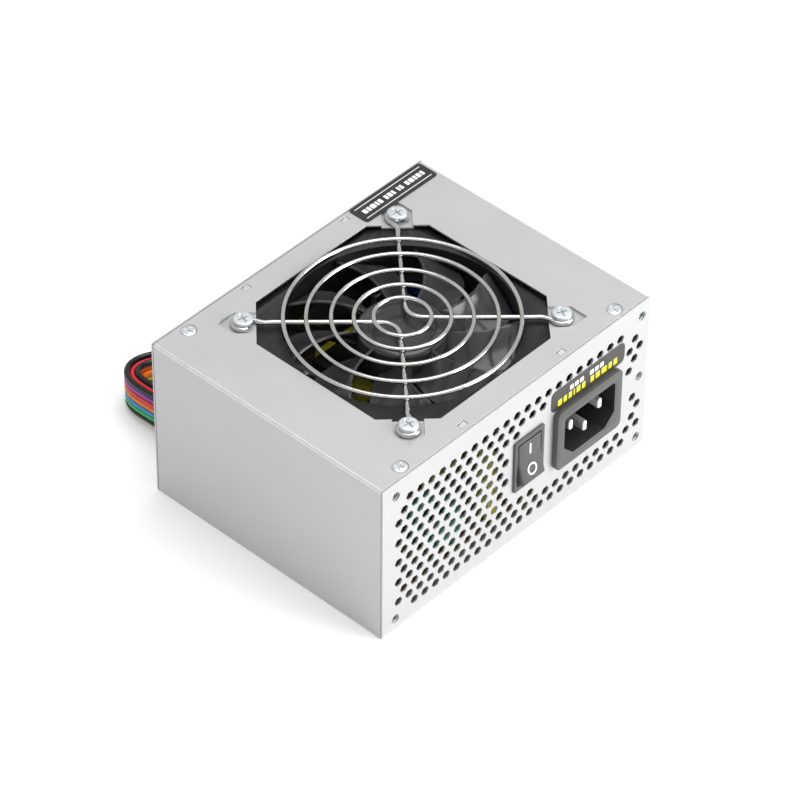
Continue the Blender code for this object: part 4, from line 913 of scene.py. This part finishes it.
def blade_tree():
    """Swept blades round a hub: a grid bent to one blade, then set out in a circle."""
    sizes = {
        "Blades": BLADES,
        "Root radius": BLADE_ROOT_R,
        "Span": BLADE_TIP_R - BLADE_ROOT_R,
        "Chord": BLADE_CHORD,
        "Sweep": BLADE_SWEEP,
        "Start": BLADE_START,
        "Top": HUB_TOP - 0.0004,
        "Drop": 0.0088,
        "Tip flattening": 0.0012,
    }
    tree, given = tree_for("swept_blades", sizes)

    def maths(operation, *values):
        return add(tree, "ShaderNodeMath", enumerate(values), operation=operation).outputs[0]

    sheet = add(
        tree,
        "GeometryNodeMeshGrid",
        {"Size X": 1.0, "Size Y": 1.0, "Vertices X": 13, "Vertices Y": 17},
    )
    where = add(tree, "GeometryNodeInputPosition")
    split = add(tree, "ShaderNodeSeparateXYZ", {"Vector": where.outputs[0]})
    out = maths("ADD", split.outputs["X"], 0.5)
    back = maths("ADD", split.outputs["Y"], 0.5)
    # A rounded outer corner: the chord's ends draw in near the tip
    near_tip = maths("POWER", out, CORNER_SHARPNESS)
    from_middle = maths("SUBTRACT", back, 0.5)
    drawn_in = maths("MULTIPLY", maths("MULTIPLY", near_tip, from_middle), CORNER_DRAW)
    back = maths("SUBTRACT", back, drawn_in)
    radius = maths("MULTIPLY_ADD", out, given["Span"], given["Root radius"])
    lead = maths("MULTIPLY_ADD", maths("POWER", out, 2.0), given["Sweep"], given["Start"])
    angle = maths("SUBTRACT", lead, maths("MULTIPLY", back, given["Chord"]))
    fall = maths("SUBTRACT", given["Drop"], maths("MULTIPLY", out, given["Tip flattening"]))
    drop = maths("MULTIPLY", fall, maths("SINE", maths("MULTIPLY", back, CAMBER)))
    bent = add(
        tree,
        "ShaderNodeCombineXYZ",
        {
            "X": maths("MULTIPLY", radius, maths("COSINE", angle)),
            "Y": maths("MULTIPLY", radius, maths("SINE", angle)),
            "Z": maths("SUBTRACT", given["Top"], drop),
        },
    )
    blade = add(
        tree,
        "GeometryNodeSetPosition",
        {"Geometry": sheet.outputs["Mesh"], "Position": bent.outputs[0]},
    )
    hub = add(tree, "GeometryNodePoints", {"Count": given["Blades"]})
    number = add(tree, "GeometryNodeInputIndex")
    step = maths("DIVIDE", math.tau, given["Blades"])
    turn = add(tree, "ShaderNodeCombineXYZ", {"Z": maths("MULTIPLY", number.outputs[0], step)})
    round_hub = add(
        tree,
        "GeometryNodeInstanceOnPoints",
        {"Points": hub.outputs[0], "Instance": blade.outputs[0], "Rotation": turn.outputs[0]},
    )
    return closed_tree(tree, round_hub.outputs["Instances"], SMOKE_PBT)


def thicken(piece):
    wall = piece.modifiers.new("wall", "SOLIDIFY")
    wall.thickness, wall.offset = BLADE_THICK, -1.0
    bevelled(piece, 0.25 * MM, 2, 40)


def hub_profile():
    """A cup with a dished face, open below, and a bored boss for the shaft."""
    dished, low = HUB_TOP - HUB_DISH, HUB_TOP - HUB_DEPTH
    under = HUB_TOP - 0.0016
    face = [(0.0, dished), (0.0060, dished), (0.0105, dished)]
    rim = [(0.0109, HUB_TOP - 0.0002), (0.0112, HUB_TOP), (0.0128, HUB_TOP)]
    shoulder = [(0.0133, HUB_TOP - 0.0001), (0.0145, HUB_TOP - 0.0010), (HUB_R, under)]
    wall = [(HUB_R, low), (HUB_R - HUB_WALL, low), (HUB_R - HUB_WALL, under)]
    boss = [(SHAFT_BOSS_R, under), (SHAFT_BOSS_R, HUB_TOP - 0.0030), (SHAFT_R, HUB_TOP - 0.0030)]
    bore_end = HUB_TOP - 0.0018
    return face + rim + shoulder + wall + boss + [(SHAFT_R, bore_end), (0.0, bore_end)]


def fan_rotor():
    blades = grown("fan_blades", blade_tree(), more=thicken)
    bm = bmesh.new()
    bm.from_mesh(blades.data)
    bmesh.ops.recalc_face_normals(bm, faces=bm.faces)
    bm.to_mesh(blades.data)
    bm.free()
    smooth(blades.data, 50)
    place_piece(blades, "fan", ["fan_rotor"])
    mesh = turned_mesh("fan_hub", hub_profile(), 72)
    smooth(mesh, 30)
    place_piece(new_piece("fan_hub", mesh, SMOKE_PBT), "fan", ["fan_rotor"])


fan_rotor()

# ---------------------------------------------------------------------------- rear panel details

PANEL_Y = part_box("base_shell")[0].y
LANCE_SIZE, LANCE_LEAN = (0.0022, 0.0019, 0.0004), math.radians(-24)
COLLAR_INNER, COLLAR_OUTER = 0.00178, 0.00225
COLLAR_DEPTH = (0.0007, 0.0028)  # from the panel's face, where a collar begins and ends
INK = 0.02 * MM
LANCES = ((-0.0230, 0.0471), (0.0230, 0.0471), (-0.0230, -0.0466), (0.0230, -0.0466))
MOUNT_HOLES = (
    (-0.0565, 0.0580),
    (-0.0565, 0.0051),
    (0.0587, 0.0577),
    (0.0587, 0.0318),
    (0.0587, 0.0051),
)


def thread_tree():
    """A coil of thread ridge in each mounting hole, running in from the panel."""
    sizes = {"Turns": 3.6, "Hole radius": 0.00176, "Depth": 0.0024, "Ridge": 0.00024}
    tree, given = tree_for("hole_threads", sizes)
    coil = add(
        tree,
        "GeometryNodeCurveSpiral",
        {
            "Resolution": 26,
            "Rotations": given["Turns"],
            "Start Radius": given["Hole radius"],
            "End Radius": given["Hole radius"],
            "Height": given["Depth"],
        },
    )
    section = {"Resolution": 4, "Radius": given["Ridge"]}
    ridge = add(tree, "GeometryNodeCurvePrimitiveCircle", section)
    swept = {"Curve": coil.outputs["Curve"], "Profile Curve": ridge.outputs["Curve"], "Fill Caps": True}
    thread = add(tree, "GeometryNodeCurveToMesh", swept)
    inward = add(tree, "ShaderNodeCombineXYZ", {"X": -math.pi / 2})
    threads = add(
        tree,
        "GeometryNodeInstanceOnPoints",
        {
            "Points": given["Geometry"],
            "Instance": thread.outputs["Mesh"],
            "Rotation": inward.outputs[0],
        },
    )
    return closed_tree(tree, threads.outputs["Instances"], ZINC_SCREW)


def collar_mesh():
    """The drawn collars behind the mounting holes that the threads are cut in."""
    bm = bmesh.new()
    front, back = (PANEL_Y + depth for depth in COLLAR_DEPTH)
    steps = 24
    section = (
        (COLLAR_INNER, front), (COLLAR_INNER, back), (COLLAR_OUTER, back), (COLLAR_OUTER, front)
    )
    for x, z in MOUNT_HOLES:
        rings = []
        for radius, y in section:
            turns = (math.tau * i / steps for i in range(steps))
            circle = [(x + radius * math.cos(a), y, z + radius * math.sin(a)) for a in turns]
            rings.append([bm.verts.new(place) for place in circle])
        for a, b in zip(rings, rings[1:] + rings[:1]):
            for i in range(steps):
                k = (i + 1) % steps
                bm.faces.new((a[i], b[i], b[k], a[k]))
    bmesh.ops.recalc_face_normals(bm, faces=bm.faces)
    mesh = bpy.data.meshes.new("mount_hole_collars")
    bm.to_mesh(mesh)
    bm.free()
    return mesh


def mounting_threads():
    """The five tapped holes: a thread in each, and the collar that it is cut in."""
    points = [(x, PANEL_Y + 0.3 * MM, z) for x, z in MOUNT_HOLES]
    threads = grown("mount_hole_threads", thread_tree(), {}, points)
    place_piece(threads, "case")
    mesh = collar_mesh()
    smooth(mesh, 40)
    # The collars carry the painted shade of the holes
    place_piece(new_piece("mount_hole_collars", mesh, HOLE_SHADE_STEEL), "case")


mounting_threads()


def lance_tabs():
    """The tongues bent down out of the cover's four small slots."""
    bm = bmesh.new()
    for x, y in LANCES:
        lean = Matrix.Rotation(LANCE_LEAN, 4, "Y")
        place = Matrix.Translation((x + 0.4 * MM, y, CASE_TOP - 0.7 * MM))
        size = Matrix.Diagonal((*LANCE_SIZE, 1.0))
        bmesh.ops.create_cube(bm, size=1.0, matrix=place @ lean @ size)
    mesh = bpy.data.meshes.new("lance_tabs")
    bm.to_mesh(mesh)
    bm.free()
    place_piece(new_piece("lance_tabs", mesh, ZINC_SCREW), "case")


lance_tabs()


def rounded_outline(u, v, width, height):
    """A rectangle about (u, v) with round corners, as points."""
    radius = 0.16 * min(width, height)
    outline = []
    for side_u, side_v, start in ((1, 1, 0), (-1, 1, 90), (-1, -1, 180), (1, -1, 270)):
        corner_u = u + side_u * (width / 2 - radius)
        corner_v = v + side_v * (height / 2 - radius)
        for i in range(4):
            angle = math.radians(start + 30 * i)
            outline.append((corner_u + radius * math.cos(angle), corner_v + radius * math.sin(angle)))
    return outline


def bars(name, rects, place, material):
    """Printed bars: flat boxes with round corners, from (u, v, width, height) on a plane."""
    bm = bmesh.new()
    for rect in rects:
        bm.faces.new([bm.verts.new((a, b, 0.0)) for a, b in rounded_outline(*rect)])
    mesh = bpy.data.meshes.new(name)
    bm.to_mesh(mesh)
    bm.free()
    piece = new_piece(name, mesh, material)
    piece.matrix_world = place
    wall = piece.modifiers.new("ink", "SOLIDIFY")
    wall.thickness, wall.offset = INK, 1.0
    place_piece(plain(piece), "case")


def dashes(widths, x, y, height, blank, gap):
    """Bars in a row from x on, with widths in millimetres; a width of 0 leaves a blank."""
    row = []
    for width in widths:
        if width:
            row.append((x + width * MM / 2, y, width * MM, height))
        x += (width or blank) * MM + gap * MM
    return row


ON_REAR = Matrix(((1, 0, 0, 0), (0, 0, -1, 0), (0, 1, 0, 0), (0, 0, 0, 1)))


def label_print():
    """Two rows of plain bars on the inlet's label: a short white one over a long yellow one."""
    low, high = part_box("inlet_label")
    place = Matrix.Translation((0, low.y, 0)) @ ON_REAR
    z = high.z - 0.0026
    white = [(low.x + 0.0095 + 0.0024 * i, z, 0.0018, 0.0019) for i in range(7) if i != 3]
    bars("label_bars_upper", white, place, WHITE_INK)
    widths = (1.9, 1.6, 1.6, 0.6, 1.8, 1.6, 0, 1.7, 2.0, 2.6, 1.6, 1.8)
    yellow = dashes(widths, low.x + 0.0030, low.z + 0.0028, 0.0026, 0.9, 0.8)
    bars("label_bars_lower", yellow, place, YELLOW_INK)


def seal_print():
    """Two thin lines along the seal, and a row of dashes between them."""
    low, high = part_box("seal_sticker")
    place = Matrix.Translation((0, 0, high.z))
    x_mid, y_mid = (low.x + high.x) / 2, (low.y + high.y) / 2
    length = high.x - low.x - 0.0030
    lines = [(x_mid, y_mid + side * 0.0028, length, 0.0003) for side in (-1, 1)]
    widths = (1.6, 1.2, 2.0, 0.9, 1.4, 0, 1.2, 1.5, 1.0, 0, 0.8, 1.2, 0, 1.4, 1.7, 1.1, 1.5, 1.2)
    lines += dashes(widths, low.x + 0.0028, y_mid, 0.0021, 0.7, 0.4)
    bars("seal_print", lines, place, WHITE_INK)


label_print()
seal_print()

# ---------------------------------------------------------------------------- rocker marks

SWITCH_X, SWITCH_Z = 0.0047, 0.0325
ROCKER_PIVOT = Vector((SWITCH_X, PANEL_Y + 0.0015, SWITCH_Z))
ROCKER_TILT = math.radians(-8.5)
# The rocker's face from its middle out, as (height from the pivot, depth from the pivot)
ROCKER_FACE = ((0.0, -0.0027), (0.0030, -0.0030), (0.0079, -0.0037))
OFF_Z, OFF_RADII = -0.0037, (0.00150, 0.00215)
ON_Z, ON_HALF_WIDTH, ON_REACH = 0.0044, 0.00038, 0.0023


def rocker_face_y(z):
    """The depth of the rocker's face at a height, before the rocker is tilted."""
    z = abs(z)
    for (z0, y0), (z1, y1) in zip(ROCKER_FACE, ROCKER_FACE[1:]):
        if z <= z1:
            return y0 + (y1 - y0) * (z - z0) / (z1 - z0)
    return ROCKER_FACE[-1][1]


def on_rocker(name, strips):
    """Quads between pairs of (x, z) outlines, laid just proud of the rocker's face."""
    bm = bmesh.new()
    for inner, outer, closed in strips:
        rows = [
            [bm.verts.new((x, rocker_face_y(z) - 0.00003, z)) for x, z in points]
            for points in (inner, outer)
        ]
        count = len(inner)
        for i in range(count if closed else count - 1):
            k = (i + 1) % count
            bm.faces.new((rows[0][i], rows[0][k], rows[1][k], rows[1][i]))
    bmesh.ops.recalc_face_normals(bm, faces=bm.faces)
    mesh = bpy.data.meshes.new(name)
    bm.to_mesh(mesh)
    bm.free()
    piece = new_piece(name, mesh, WHITE_INK)
    piece.matrix_world = Matrix.Translation(ROCKER_PIVOT) @ Matrix.Rotation(ROCKER_TILT, 4, "X")
    wall = piece.modifiers.new("ink", "SOLIDIFY")
    wall.thickness, wall.offset = 0.03 * MM, 0.0
    place_piece(plain(piece), "rocker")


def rocker_marks():
    """The switch's ring and bar, printed on the rocker."""
    turns = [math.tau * i / 40 for i in range(40)]
    ring = [[(r * math.cos(a), OFF_Z + r * math.sin(a)) for a in turns] for r in OFF_RADII]
    on_rocker("off_mark", [(*ring, True)])
    sides = []
    for side in (-1, 1):
        points = []
        for i in range(13):
            t = 2 * i / 12 - 1
            round_end = max(0.0, (abs(t) * ON_REACH - (ON_REACH - ON_HALF_WIDTH)) / ON_HALF_WIDTH)
            across = side * ON_HALF_WIDTH * math.sqrt(max(0.02, 1 - round_end**2))
            points.append((across, ON_Z + t * ON_REACH))
        sides.append(points)
    on_rocker("on_mark", [(*sides, False)])


rocker_marks()
